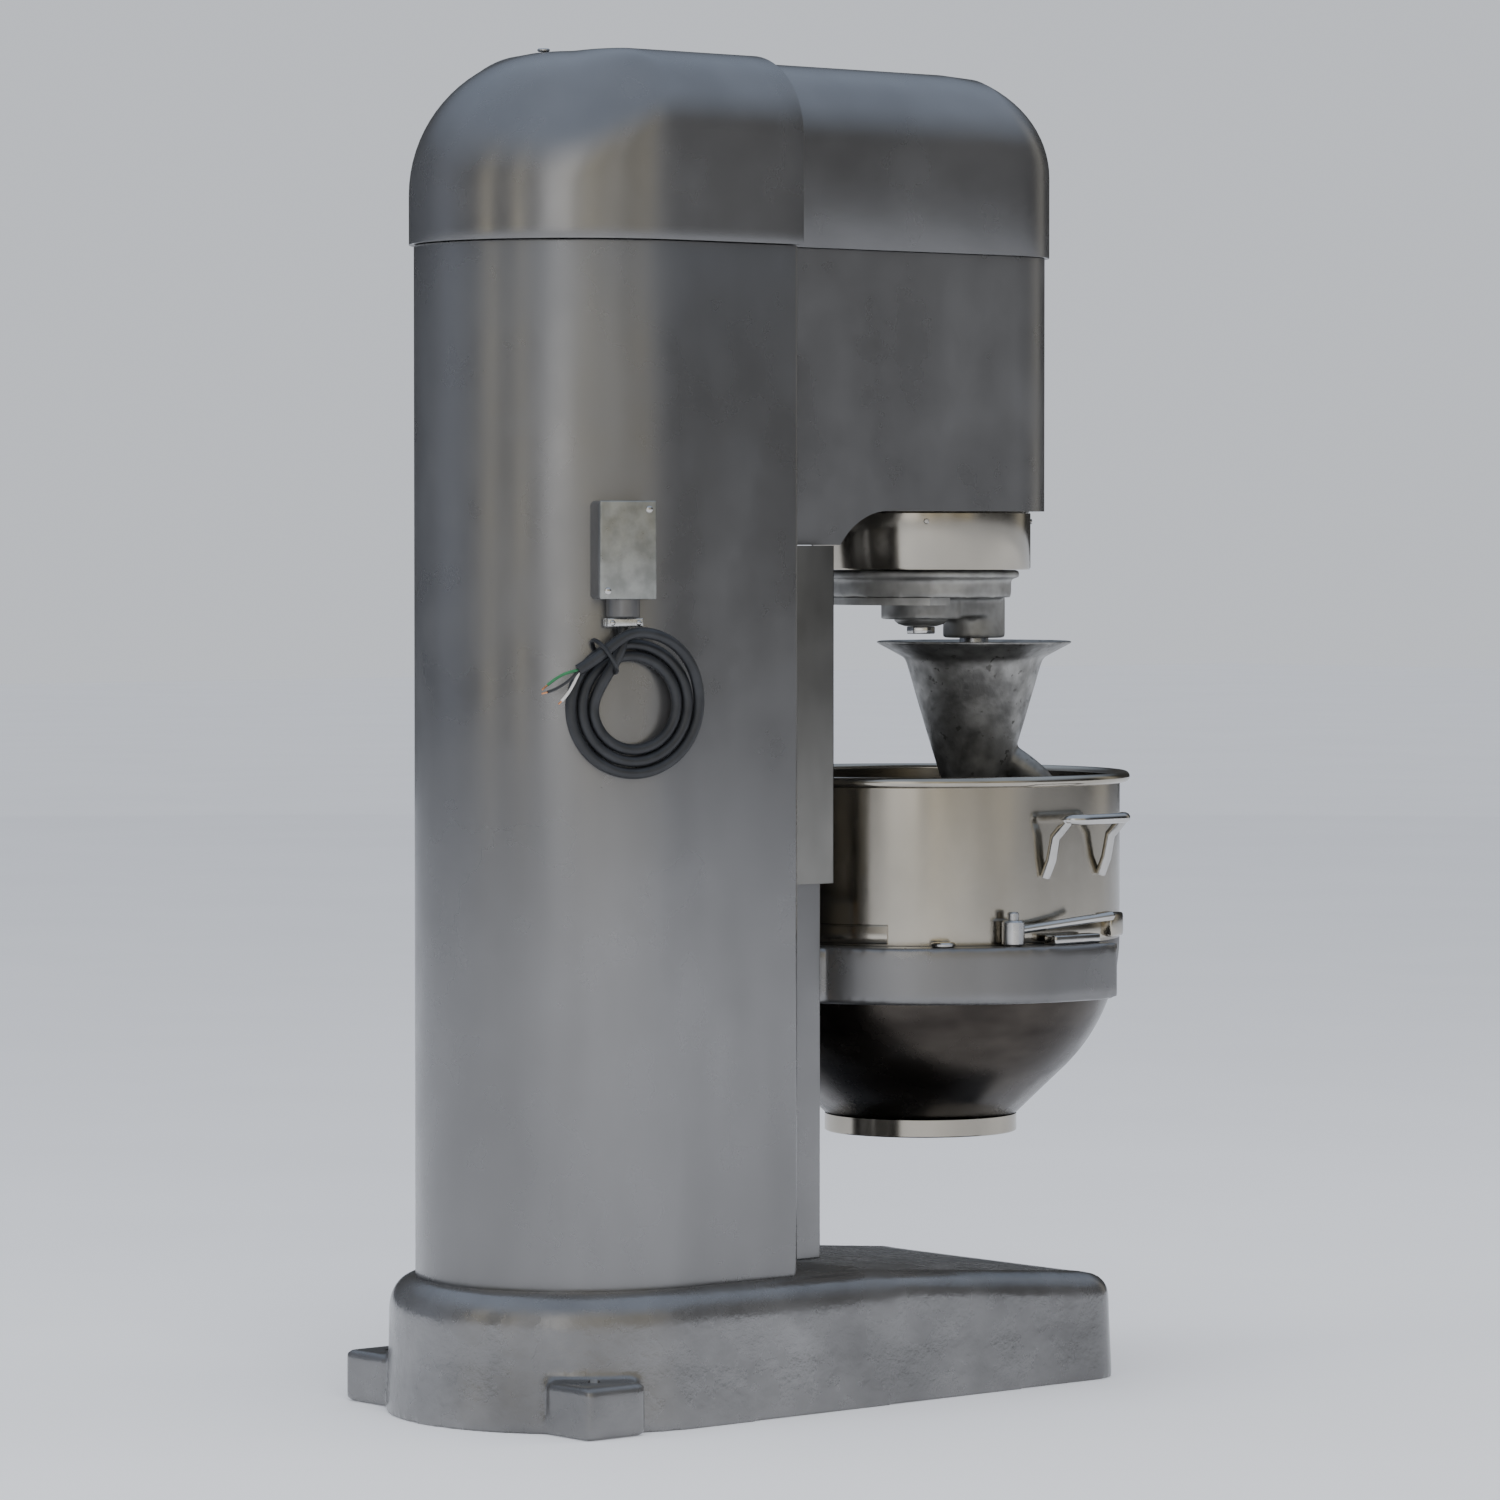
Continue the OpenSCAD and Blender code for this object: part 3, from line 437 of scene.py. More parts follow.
def noise(tree, source, scale, detail=3.0, rough=0.55, stretch=(1, 1, 1)):
    mapping = tree.nodes.new("ShaderNodeMapping")
    mapping.inputs["Scale"].default_value = stretch
    texture = tree.nodes.new("ShaderNodeTexNoise")
    texture.inputs["Scale"].default_value = scale
    texture.inputs["Detail"].default_value = detail
    texture.inputs["Roughness"].default_value = rough
    tree.links.new(source, mapping.inputs["Vector"])
    tree.links.new(mapping.outputs["Vector"], texture.inputs["Vector"])
    return texture.outputs["Fac"]


def spread(tree, source, low_in, high_in, low_out, high_out):
    node = tree.nodes.new("ShaderNodeMapRange")
    for label, value in (("From Min", low_in), ("From Max", high_in), ("To Min", low_out), ("To Max", high_out)):
        node.inputs[label].default_value = value
    tree.links.new(source, node.inputs["Value"])
    return node.outputs["Result"]


def blend_colours(tree, factor, one, two):
    node = tree.nodes.new("ShaderNodeMix")
    node.data_type = "RGBA"
    tree.links.new(factor, node.inputs["Factor"])
    for socket, colour in ((node.inputs["A"], one), (node.inputs["B"], two)):
        if isinstance(colour, bpy.types.NodeSocket):
            tree.links.new(colour, socket)
        else:
            socket.default_value = (*colour, 1)
    return node.outputs["Result"]


def bump(tree, height, strength, distance, normal=None):
    node = tree.nodes.new("ShaderNodeBump")
    node.inputs["Strength"].default_value = strength
    node.inputs["Distance"].default_value = distance
    tree.links.new(height, node.inputs["Height"])
    if normal is not None:
        tree.links.new(normal, node.inputs["Normal"])
    return node.outputs["Normal"]


def surface(name, colour, rough, metallic=0.0, vary=0.12, scale=9.0, rough_vary=0.06,
            bumps=((60.0, 0.15, 0.001, (1, 1, 1)),), second=None, coat=0.0, coat_rough=0.1, aniso=0.0,
            stretch=(1, 1, 1), specks=None):
    """A procedural material: cloudy colour, uneven gloss and one or more grains of bump."""
    made = bpy.data.materials.new("mixer " + name)
    made.use_nodes = True
    tree = made.node_tree
    shader = tree.nodes["Principled BSDF"]
    place = tree.nodes.new("ShaderNodeTexCoord").outputs["Object"]
    second = second or tuple(min(1, c * (1 + 2 * vary)) for c in colour)
    first = tuple(c * (1 - vary) for c in colour)
    cloud = spread(tree, noise(tree, place, scale, stretch=stretch), 0.35, 0.65, 0.0, 1.0)
    tone = blend_colours(tree, cloud, first, second)
    if specks:
        speck_scale, amount, speck_colour = specks
        spots = spread(tree, noise(tree, place, speck_scale, 2.0, 0.7), 1 - amount, 1 - amount + 0.05, 0.0, 1.0)
        tone = blend_colours(tree, spots, tone, speck_colour)
    tree.links.new(tone, shader.inputs["Base Color"])
    gloss = spread(tree, noise(tree, place, scale * 2.3, 4.0), 0.3, 0.7, max(0.02, rough - rough_vary), rough + rough_vary)
    tree.links.new(gloss, shader.inputs["Roughness"])
    shader.inputs["Metallic"].default_value = metallic
    shader.inputs["Coat Weight"].default_value = coat
    shader.inputs["Coat Roughness"].default_value = coat_rough
    shader.inputs["Anisotropic"].default_value = aniso
    normal = None
    for grain, strength, distance, pull in bumps:
        normal = bump(tree, noise(tree, place, grain, 4.0, 0.6, pull), strength, distance, normal)
    if normal is not None:
        tree.links.new(normal, shader.inputs["Normal"])
    return made


def make_materials():
    c = colours()
    paint = tuple(c.paint)
    peel = ((30.0, 0.10, 0.0012, (1, 1, 0.3)), (150.0, 0.10, 0.0004, (1, 1, 0.7)))
    surface("casting paint", paint, 0.30, 0.82, 0.10, 3.5, 0.07, peel, coat=0.12, stretch=(1, 1, 0.3))
    surface("cover paint", tuple(v * 1.05 for v in paint), 0.25, 0.84, 0.07, 4.0, 0.05,
            ((26.0, 0.10, 0.001, (1, 1, 1)), (210.0, 0.07, 0.0003, (1, 1, 1))), coat=0.18)
    surface("base paint", tuple(v * 1.0 for v in paint), 0.27, 0.78, 0.14, 5.0, 0.08,
            ((22.0, 0.4, 0.003, (1, 1, 1)), (95.0, 0.3, 0.001, (1, 1, 1))), coat=0.25)
    surface("box paint", tuple(v * 0.8 for v in paint), 0.36, 0.75, 0.08, 14.0, 0.06,
            ((160.0, 0.15, 0.0005, (1, 1, 1)),))
    surface("way steel", (0.20, 0.195, 0.18), 0.34, 0.9, 0.10, 7.0, 0.05, ((120.0, 0.06, 0.0003, (1, 1, 8)),),
            stretch=(1, 1, 0.4))
    surface("stainless", tuple(v * 0.86 for v in c.stainless), 0.17, 1.0, 0.12, 5.0, 0.04,
            ((7.0, 0.10, 0.002, (1, 1, 0.5)), (120.0, 0.05, 0.0002, (1, 1, 14))), stretch=(1, 1, 0.4))
    # Lower bowl wall: the stainless steel given a very dark colour with darker streaks, as painted shade under the yoke
    # and painted dark reflections.
    surface("bowl shell", (0.12, 0.105, 0.09), 0.26, 1.0, 0.25, 5.0, 0.08,
            ((9.0, 0.1, 0.002, (1, 1, 1)), (130.0, 0.08, 0.0003, (1, 1, 10))), second=(0.04, 0.034, 0.03),
            aniso=0.4, stretch=(1, 1, 2.5))
    surface("bright steel", (0.52, 0.51, 0.49), 0.16, 1.0, 0.05, 12.0, 0.03, ((80.0, 0.03, 0.0003, (1, 1, 1)),))
    surface("machined steel", (0.5, 0.5, 0.5), 0.28, 1.0, 0.08, 20.0, 0.06, ((150.0, 0.08, 0.0003, (1, 1, 1)),))
    surface("cast metal", tuple(c.casting), 0.5, 0.75, 0.25, 16.0, 0.1,
            ((55.0, 0.25, 0.0012, (1, 1, 1)), (240.0, 0.2, 0.0005, (1, 1, 1))))
    surface("hook casting", tuple(v * 0.8 for v in c.casting), 0.42, 0.85, 0.3, 22.0, 0.1,
            ((45.0, 0.4, 0.002, (1, 1, 1)), (200.0, 0.25, 0.0006, (1, 1, 1))),
            specks=(60.0, 0.37, (0.15, 0.145, 0.135)))
    surface("bronze", (0.42, 0.27, 0.1), 0.3, 1.0, 0.12, 18.0, 0.06)
    surface("motor paint", (0.045, 0.06, 0.08), 0.42, 0.2, 0.1, 12.0)
    surface("belt rubber", (0.02, 0.02, 0.02), 0.75, 0.0, 0.2, 30.0)
    surface("cord sheath", tuple(c.rubber), 0.42, 0.0, 0.2, 26.0, 0.06, ((140.0, 0.12, 0.0004, (1, 1, 1)),))
    surface("zinc", (0.25, 0.255, 0.24), 0.34, 0.85, 0.10, 34.0, 0.08, ((90.0, 0.2, 0.0006, (1, 1, 1)),),
            second=(0.33, 0.335, 0.315))
    surface("bright zinc", (0.55, 0.55, 0.53), 0.25, 0.9, 0.1, 34.0, 0.05)
    surface("green button", (0.01, 0.16, 0.045), 0.25, 0.0, 0.05, 10.0, coat=0.4)
    surface("red button", (0.32, 0.012, 0.01), 0.25, 0.0, 0.05, 10.0, coat=0.4)
    surface("black knob", (0.015, 0.015, 0.016), 0.22, 0.0, 0.1, 10.0, coat=0.4)
    surface("copper wire", (0.75, 0.32, 0.14), 0.3, 1.0, 0.1, 60.0)
    surface("green wire", (0.02, 0.14, 0.05), 0.4, 0.0, 0.08, 60.0)
    surface("white wire", (0.6, 0.58, 0.55), 0.4, 0.0, 0.05, 60.0)
    surface("black wire", (0.02, 0.02, 0.022), 0.4, 0.0, 0.1, 60.0)
    floor = surface("pale floor", tuple(c.backdrop), 0.9, 0.0, 0.01, 1.0, 0.02, ())
    glow = floor.node_tree.nodes["Principled BSDF"].inputs
    glow["Emission Color"].default_value = (0.74, 0.77, 0.84, 1)
    glow["Emission Strength"].default_value = 0.17

def skin(name):
    return bpy.data.materials["mixer " + name]


# ---------- operators ----------
class Build:
    bl_options = {"REGISTER", "UNDO"}

    def execute(self, context):
        self.build()
        return {"FINISHED"}


class MIXER_OT_materials(Build, bpy.types.Operator):
    """Makes every material"""
    bl_idname = "mixer.materials"
    bl_label = "Materials"

    def build(self):
        make_materials()


class MIXER_OT_inside(Build, bpy.types.Operator):
    """Finishes the drive, lift and other working parts that come from the frame"""
    bl_idname = "mixer.inside"
    bl_label = "Working parts"

    def build(self):
        paint_node(skin("machined steel"), "ring_gear", "main_shaft", "main_gear", "agitator_shaft", "planet_pinion",
                   "input_shaft", "counter_shaft", "counter_gear", "motor_shaft", "lift_screw", "fixed_bearings",
                   "agitator_bearings", "hook_pin")
        paint_node(skin("cast metal"), "bearing_plate", "counterweight", "input_pulley", "motor_pulley",
                   "screw_blocks", "motor_mount")
        paint_node(skin("bronze"), "lift_nut", "way_gibs")
        paint_node(skin("motor paint"), "motor_body", "lift_motor")
        paint_node(skin("belt rubber"), "drive_belts")


class MIXER_OT_base(Build, bpy.types.Operator):
    """Builds the base casting"""
    bl_idname = "mixer.base"
    bl_label = "Base"

    def build(self):
        def top(y):
            slope = 0.1945 - (0.31 - y) * 0.079 if y < 0.31 else 0.1945 + min(1.0, (y - 0.31) / 0.15) * 0.0015
            return slope

        def plan(inset):
            r, half, front, corner = 0.277 - inset, 0.262 - inset, -0.186 + inset, max(0.004, 0.062 - inset)
            points = [(x, COLUMN_Y + y) for x, y in arc(0, 0, r, 0, 180, 64)]
            run = [(i / 16) for i in range(1, 16)]
            points += [(-r + (r - half) * t, COLUMN_Y + (front + corner - COLUMN_Y) * t) for t in run]
            points += arc(-(half - corner), front + corner, corner, 180, 270, 10)
            points += [(-(half - corner) * (1 - t / 4), front) for t in (1, 2, 3, 4, 5, 6, 7)]
            points += arc(half - corner, front + corner, corner, 270, 360, 10)
            points += [(r + (half - r) * t, COLUMN_Y + (front + corner - COLUMN_Y) * t) for t in reversed(run)]
            return points

        rings = [[(x, y, 0) for x, y in plan(0)]]
        rings += [[(x, y, z) for x, y in plan(inset)] for inset, z in ((0.001, 0.03), (0.004, 0.09))]
        for k in range(9):
            a = math.pi / 2 * k / 8
            shoulder = []
            for (x, y), (x0, y0) in zip(plan(0.005 + 0.036 * (1 - math.cos(a))), plan(0)):
                drop = 0.048 if y0 > 0.31 else 0.034
                shoulder.append((x, y, top(y0) - drop * (1 - math.sin(a))))
            rings.append(shoulder)
        rings += [[(x, y, top(y)) for x, y in plan(inset)] for inset in (0.08, 0.14, 0.2)]
        base = loft("base", rings)
        parts = [base]
        for s in (-1, 1):
            xs = sorted((s * 0.187, s * 0.2845))
            parts.append(block("rear_pad", (xs[0], 0.766, 0), (xs[1], 0.8715, 0.075), 0.006, 3))
        base = joined("base", parts)
        modify(base, "REMESH", mode="VOXEL", voxel_size=0.005)
        modify(base, "SMOOTH", factor=0.5, iterations=6)
        for x, y, z in ((0.236, 0.823, 0.09), (-0.236, 0.823, 0.09), (0.195, -0.145, 0.2), (-0.195, -0.145, 0.2)):
            drill = rod("drill", 0.009, -0.01, z, (x, y), 0.0001, 32)
            modify(base, "BOOLEAN", operation="DIFFERENCE", object=drill, solver="EXACT")
            bpy.data.objects.remove(drill)
        done(base, skin("base paint"), "frame", "base_casting", angle=60)


class MIXER_OT_column(Build, bpy.types.Operator):
    """Builds the column with its way rails and the domed cover over it"""
    bl_idname = "mixer.column"
    bl_label = "Column"

    def build(self):
        r, front = COLUMN_R, COLUMN_FRONT
        plan = [(x, y) for x, y, _, _ in d_outline(r, front, 96)]
        shaft = prism("column_shaft", plan, BASE_TOP - 0.004, SEAM_Z - 0.001)
        upright = {round(x, 4) for x in (-r, r)}
        pick(lambda e, at: abs(at[0].z - at[1].z) > 0.5 and abs(at[0].y - front) < 1e-4
             and round(at[0].x, 4) in upright, "edges")
        bpy.ops.mesh.bevel(offset=0.012, segments=5, profile=0.5, affect="EDGES")
        seal(shaft)
        modify(shaft, "BEVEL", width=0.0025, segments=2, limit_method="ANGLE", angle_limit=math.radians(50))
        rails = []
        for s in (-1, 1):
            lo = (min(s * 0.172, s * 0.193), front - 0.074, 0.212)
            hi = (max(s * 0.172, s * 0.193), front + 0.002, GUSSET_Z - 0.001)
            rails.append(block("rail", lo, hi, 0.003))
        done(joined("column_shaft", [shaft] + rails), skin("casting paint"), "frame", "column")

        lip, top, n = 0.007, COVER_TOP, 20
        outer = d_outline(r + lip, front - 0.0002, 72)
        rings = [[(x, y, SEAM_Z) for x, y, _, _ in outer], [(x, y, SEAM_Z + 0.02) for x, y, _, _ in outer]]
        side_r, rear_r = 0.122, 0.205
        for k in range(n + 1):
            a = math.pi / 2 * k / n
            ring = []
            for x, y, dx, dy in outer:
                back = min(1.0, max(0.0, (dy - 0.05) / 0.7))
                round_r = side_r + (rear_r - side_r) * back * back * (3 - 2 * back)
                if dx == 0 and dy == 0:
                    # front wall: keeps its plane and follows the section across
                    share = abs(x) / (r + lip)
                    z_side = top - side_r * (1 - math.sin(a))
                    x_in = (r + lip - side_r * (1 - math.cos(a))) * (x / (r + lip))
                    ring.append((x_in, y, z_side))
                else:
                    reach = round_r * (1 - math.cos(a))
                    ring.append((x - dx * reach, y - dy * reach, top - round_r * (1 - math.sin(a))))
            rings.append(ring)
        cover = loft("column_dome", rings)
        modify(cover, "BEVEL", width=0.003, segments=3, limit_method="ANGLE", angle_limit=math.radians(50))
        done(cover, skin("cover paint"), "frame", "column_cover", angle=45)
        screws = [rod("cover_screw", 0.009, top - 0.001, top + 0.0035, (0, y), 0.0015) for y in
                  (COLUMN_Y + 0.06, COLUMN_FRONT + 0.04)]
        done(joined("cover_screw_heads", screws), skin("machined steel"), "frame", "cover_screws")


class MIXER_OT_head(Build, bpy.types.Operator):
    """Builds the head casting, its gussets and its cover"""
    bl_idname = "mixer.head"
    bl_label = "Head"

    def build(self):
        w, front, back = HEAD_W, HEAD_FRONT, COLUMN_FRONT
        body = seal(prism("head_body", head_outline(w, front, back + 0.002, HEAD_CORNER, 24), HEAD_Z, SEAM_Z - 0.001))
        side = [(back + 0.002, HEAD_Z + 0.02), (back + 0.002, GUSSET_Z)]
        side += arc(0.215, GUSSET_Z - 0.066, 0.116, 34.7, 90, 24)
        side += [(0.215, HEAD_Z + 0.02)]
        gusset = wire("gusset", [(-w, y, z) for y, z in side], closed=True)
        bpy.ops.mesh.select_all(action="SELECT")
        bpy.ops.mesh.edge_face_add()
        bpy.ops.mesh.extrude_region_move(TRANSFORM_OT_translate={"value": (2 * w, 0, 0)})
        seal(gusset)
        modify(body, "BOOLEAN", operation="UNION", object=gusset, solver="EXACT")
        bpy.data.objects.remove(gusset)
        modify(body, "BEVEL", width=0.005, segments=3, limit_method="ANGLE", angle_limit=math.radians(50))
        done(body, skin("casting paint"), "frame", "head_casting")
        modify(body, "WEIGHTED_NORMAL", keep_sharp=True, weight=100)

        lip, top, n, corner = 0.007, COVER_TOP - 0.004, 18, HEAD_CORNER + 0.007
        plan = head_outline(w + lip, front - lip, back, corner, 24)
        side_r, front_r = 0.125, 0.140
        rings = [[(x, y, SEAM_Z) for x, y in plan]]
        for k in range(n + 1):
            a = math.pi / 2 * k / n
            reach, rise = 1 - math.cos(a), 1 - math.sin(a)
            ring = []
            for x, y in plan:
                cx = max(-(w + lip - corner), min(w + lip - corner, x))
                cy = max(front - lip + corner, y)
                d = Vector((x - cx, y - cy, 0))
                d = d.normalized() if d.length > 1e-6 else Vector((0, 0, 0))
                if y > back - 1e-4 and abs(x) < w + lip - 1e-4:
                    d = Vector((0, 0, 0))
                round_r = side_r + (front_r - side_r) * max(0.0, -d.y)
                sag = 0.018 * max(0.0, min(1.0, (0.02 - y) / 0.17)) ** 1.5
                ring.append((x - d.x * round_r * reach, y - d.y * round_r * reach, top - sag - round_r * rise))
            rings.append(ring)
        cover = loft("head_dome", rings, cap_high=False)
        edit(cover)
        pick(lambda e, at: len(e.link_faces) == 1, "edges")
        bpy.ops.mesh.edge_face_add()
        seal(cover)
        modify(cover, "BEVEL", width=0.003, segments=3, limit_method="ANGLE", angle_limit=math.radians(50))
        done(cover, skin("cover paint"), "frame", "head_cover", angle=45)


class MIXER_OT_planetary(Build, bpy.types.Operator):
    """Builds the drip band and the planetary below it"""
    bl_idname = "mixer.planetary"
    bl_label = "Planetary"

    def build(self):
        band = lathe("drip_ring", [(BAND_R - 0.006, BAND_Z + 0.003), (BAND_R - 0.002, BAND_Z), (BAND_R, BAND_Z + 0.003),
                                   (BAND_R, HEAD_Z - 0.003), (BAND_R - 0.003, HEAD_Z), (BAND_R - 0.02, HEAD_Z)], steps=160)
        modify(band, "SOLIDIFY", thickness=0.002)
        done(band, skin("stainless"), "frame", "drip_band")
        heads = []
        for a in range(141, 412, 90):
            head = rod("band_screw", 0.004, 0, 0.0028, edge=0.001, steps=24)
            turn(head, math.radians(90), "Y")
            shift(head, (BAND_R, 0, HEAD_Z - 0.015))
            heads.append(turn(head, math.radians(a)))
        done(joined("band_screw_heads", heads), skin("machined steel"), "frame", "band_screws")

        house = cast_copy("planetary_housing", "planetary_case", 0.0035, 3)
        done(house, skin("cast metal"), "planetary", "planetary_housing", angle=60)
        z = low("planetary_cap").z
        cap = lathe("planetary_dome", [(0, z + 0.0005), (0.024, z + 0.0005), (0.034, z + 0.0035), (0.0395, z + 0.008),
                                       (0.0405, high("planetary_cap").z), (0, high("planetary_cap").z)])
        done(cap, skin("cast metal"), "planetary", "planetary_cap")
        z0, z1 = low("planetary_bolt").z, high("planetary_bolt").z
        clear()
        bpy.ops.mesh.primitive_cylinder_add(vertices=6, radius=0.0215, depth=z1 - z0, location=(0, 0, (z0 + z1) / 2),
                                            rotation=(0, 0, math.radians(15)))
        bolt = bpy.context.object
        bolt.name = bolt.data.name = "planetary_bolt_head"
        bpy.ops.object.transform_apply(location=True, rotation=True, scale=True)
        modify(bolt, "BEVEL", width=0.0014, segments=2, limit_method="ANGLE")
        done(bolt, skin("bright steel"), "planetary", "planetary_bolt")


class MIXER_OT_hook(Build, bpy.types.Operator):
    """Builds the spiral dough hook"""
    bl_idname = "mixer.hook"
    bl_label = "Dough hook"

    def build(self):
        top = high("dough_hook").z
        at = (0, AGITATOR_Y)
        profile = [(0.024, top - 0.017), (0.048, top - 0.016), (0.130, top - 0.004), (0.146, top - 0.0008),
                   (0.149, top - 0.002), (0.1485, top - 0.0045), (0.13, top - 0.014), (0.112, top - 0.024),
                   (0.106, top - 0.027), (0.102, top - 0.036), (0.078, 0.985), (0.066, 0.945), (0.054, 0.906),
                   (0.048, 0.890), (0.038, 0.880), (0, 0.877)]
        cone = lathe("hook", [(0, top - 0.017)] + profile, at, 96)
        n, spine = 60, []
        z_low = low("dough_hook").z + 0.024
        for i in range(n + 1):
            t = i / n
            out = min(1.0, t / 0.2)
            z = 0.945 - 0.095 * out - (0.85 - z_low) * max(0.0, (t - 0.2) / 0.8)
            a = math.radians(222 + 22 * out + 330 * max(0.0, (t - 0.2) / 0.8))
            reach = 0.116 if z > 0.820 else 0.030 + 0.086 * (1 - ((0.820 - z) / (0.820 - z_low)) ** 1.6)
            r = 0.018 + (reach - 0.018) * math.sin(out * math.pi / 2)
            spine.append((at[0] + r * math.cos(a), at[1] + r * math.sin(a), z))
        arm = tube("hook_arm", spine, 0.0235, 24)
        tip = lathe("hook_tip", [(0, -0.023)] + arc(0, 0, 0.0231, -80, 80, 12) + [(0, 0.023)], steps=24)
        shift(tip, spine[-1])
        hook = joined("hook", [cone, arm, tip])
        modify(hook, "REMESH", mode="VOXEL", voxel_size=0.0032)
        modify(hook, "SMOOTH", factor=0.5, iterations=4)
        done(hook, skin("hook casting"), "agitator", "dough_hook", angle=60)


class MIXER_OT_bowl(Build, bpy.types.Operator):
    """Builds the bowl with its rim, foot ring, band and handles"""
    bl_idname = "mixer.bowl"
    bl_label = "Bowl"

    def build(self):
        wall, rim = sizes().bowl_wall, sizes().rim_radius
        r, z_arc, floor = BOWL_R, 0.659, BOWL_FOOT_Z + 0.012
        outer = [(0, floor), (0.10, floor), (0.128, floor + 0.0015)] + arc(0.025, z_arc, 0.275, -45, 0, 20)
        outer += [(r, RIM_Z - 0.12)] + arc(r + rim - 0.001, RIM_Z, rim, 200, -90, 20) + [(r + 0.004, RIM_Z - 0.007)]
        inner = [(r - wall, RIM_Z), (r - wall, z_arc)] + arc(0.025, z_arc, 0.275 - wall, 0, -45, 20)[1:]
        inner += [(0.130, floor + wall), (0, floor + wall)]
        outer = [(0, floor), (0.10, floor), (0.130, floor + 0.001)] + arc(0.025, z_arc, 0.275, -45, 0, 20)
        outer += [(r, RIM_Z - rim * 1.05)] + arc(r + rim - 0.001, RIM_Z, rim, -110, 175, 24)
        bowl = lathe("bowl_shell", outer + inner, steps=192)
        done(bowl, skin("bowl shell"), "bowl_lift", "bowl", angle=50)
        # Faces above z 0.690 get the plain stainless; the bowl below keeps the dark painted-shade copy of the same
        # steel.
        lower = bowl.data
        lower.materials.append(skin("stainless"))
        for face in lower.polygons:
            if face.center.z > 0.690:
                face.material_index = 1
        ring = lathe("foot_ring", [(0.1395, BOWL_FOOT_Z + 0.0015), (0.141, BOWL_FOOT_Z), (0.1435, BOWL_FOOT_Z),
                                   (0.145, BOWL_FOOT_Z + 0.0015), (0.145, BOWL_FOOT_Z + 0.026),
                                   (0.1395, BOWL_FOOT_Z + 0.024)], steps=128, closed=True)
        done(ring, skin("stainless"), "bowl_lift", "bowl_foot_ring")
        parts = []
        z0 = low("bowl_band").z
        for a0, a1 in ((66, 118), (129, 199), (214, 231), (235, 305), (309, 326), (-19, 51)):
            parts.append(lathe("band", [(r + 0.0003, z0), (r + 0.0045, z0 + 0.001), (r + 0.0055, z0 + 0.004),
                                        (r + 0.0055, z0 + 0.025), (r + 0.0045, z0 + 0.028), (r + 0.0003, z0 + 0.029)],
                               closed=True, steps=24, angle=math.radians(a1 - a0), start=math.radians(a0)))
        for a in (207, 333):
            lug = block("lug", (r - 0.001, -0.025, z0 + 0.002), (r + 0.016, 0.025, z0 + 0.037), 0.004)
            parts.append(turn(lug, math.radians(a)))
        done(joined("bowl_band_ring", parts), skin("stainless"), "bowl_lift", "bowl_band")

        bars = []
        for a in (187.5, 352.5):
            reach, half, z, bend = r + 0.057, 0.064, RIM_Z - 0.055, 0.024
            path = [(r - 0.003, -half, z - 0.085), (r + 0.0085, -half, z - 0.060), (r + 0.016, -half, z - 0.026)]
            path += [(r + 0.016 + (reach - r - 0.016) * s, -half, z - 0.026 + 0.026 * math.sin(s * math.pi / 2))
                     for s in (0.3, 0.6)]
            path += [(x, y, z) for x, y in arc(reach - bend, -half + bend, bend, -90, 0, 8)]
            path += [(x, -y, zz) for x, y, zz in reversed(path)]
            bar = tube("handle", path, 0.0078, 20)
            bars.append(turn(bar, math.radians(a)))
        done(joined("bowl_handle_bars", bars), skin("bright steel"), "bowl_lift", "bowl_handles")


class MIXER_OT_yoke(Build, bpy.types.Operator):
    """Builds the yoke that carries the bowl, its pads and its clamps"""
    bl_idname = "mixer.yoke"
    bl_label = "Yoke"

    def build(self):
        yoke = cast_copy("yoke", "yoke_arms", 0.006, 5)
        done(yoke, skin("casting paint"), "bowl_lift", "yoke", angle=60)
        z, parts = YOKE_TOP, []
        for s in (-1, 1):
            pad = block("pad", (0.311, -0.047, z), (0.336, 0.047, z + 0.014), 0.003)
            parts.append(turn(pad, math.radians(90 + s * 92)))
            post = rod("post", 0.018, z, z + 0.007, (0.328, 0), 0.002)
            parts.append(turn(post, math.radians(90 + s * 54)))
        done(joined("bowl_rests", parts), skin("bright steel"), "bowl_lift", "yoke_pads")
        for s, side in ((-1, "left"), (1, "right")):
            x, y = s * 0.311, 0.096
            pin = rod("pin", 0.0085, z - 0.038, z + 0.05, (x, y), 0.002)
            cam = rod("cam", 0.0168, z + 0.0004, z + 0.038, (x, y), 0.003)
            done(joined("clamp_cam_" + side + "_skin", [cam, pin]), skin("machined steel"), "clamp_" + side,
                 "clamp_cam_" + side)
            bar = rod("clamp_rod_" + side + "_skin", 0.0064, 0.010, 0.174, edge=0.004, steps=32)
            turn(bar, math.radians(84), "Y")
            turn(bar, math.radians(258 if s < 0 else 282))
            shift(bar, (x, y, z + 0.0223))
            done(bar, skin("bright steel"), "clamp_" + side, "clamp_rod_" + side)


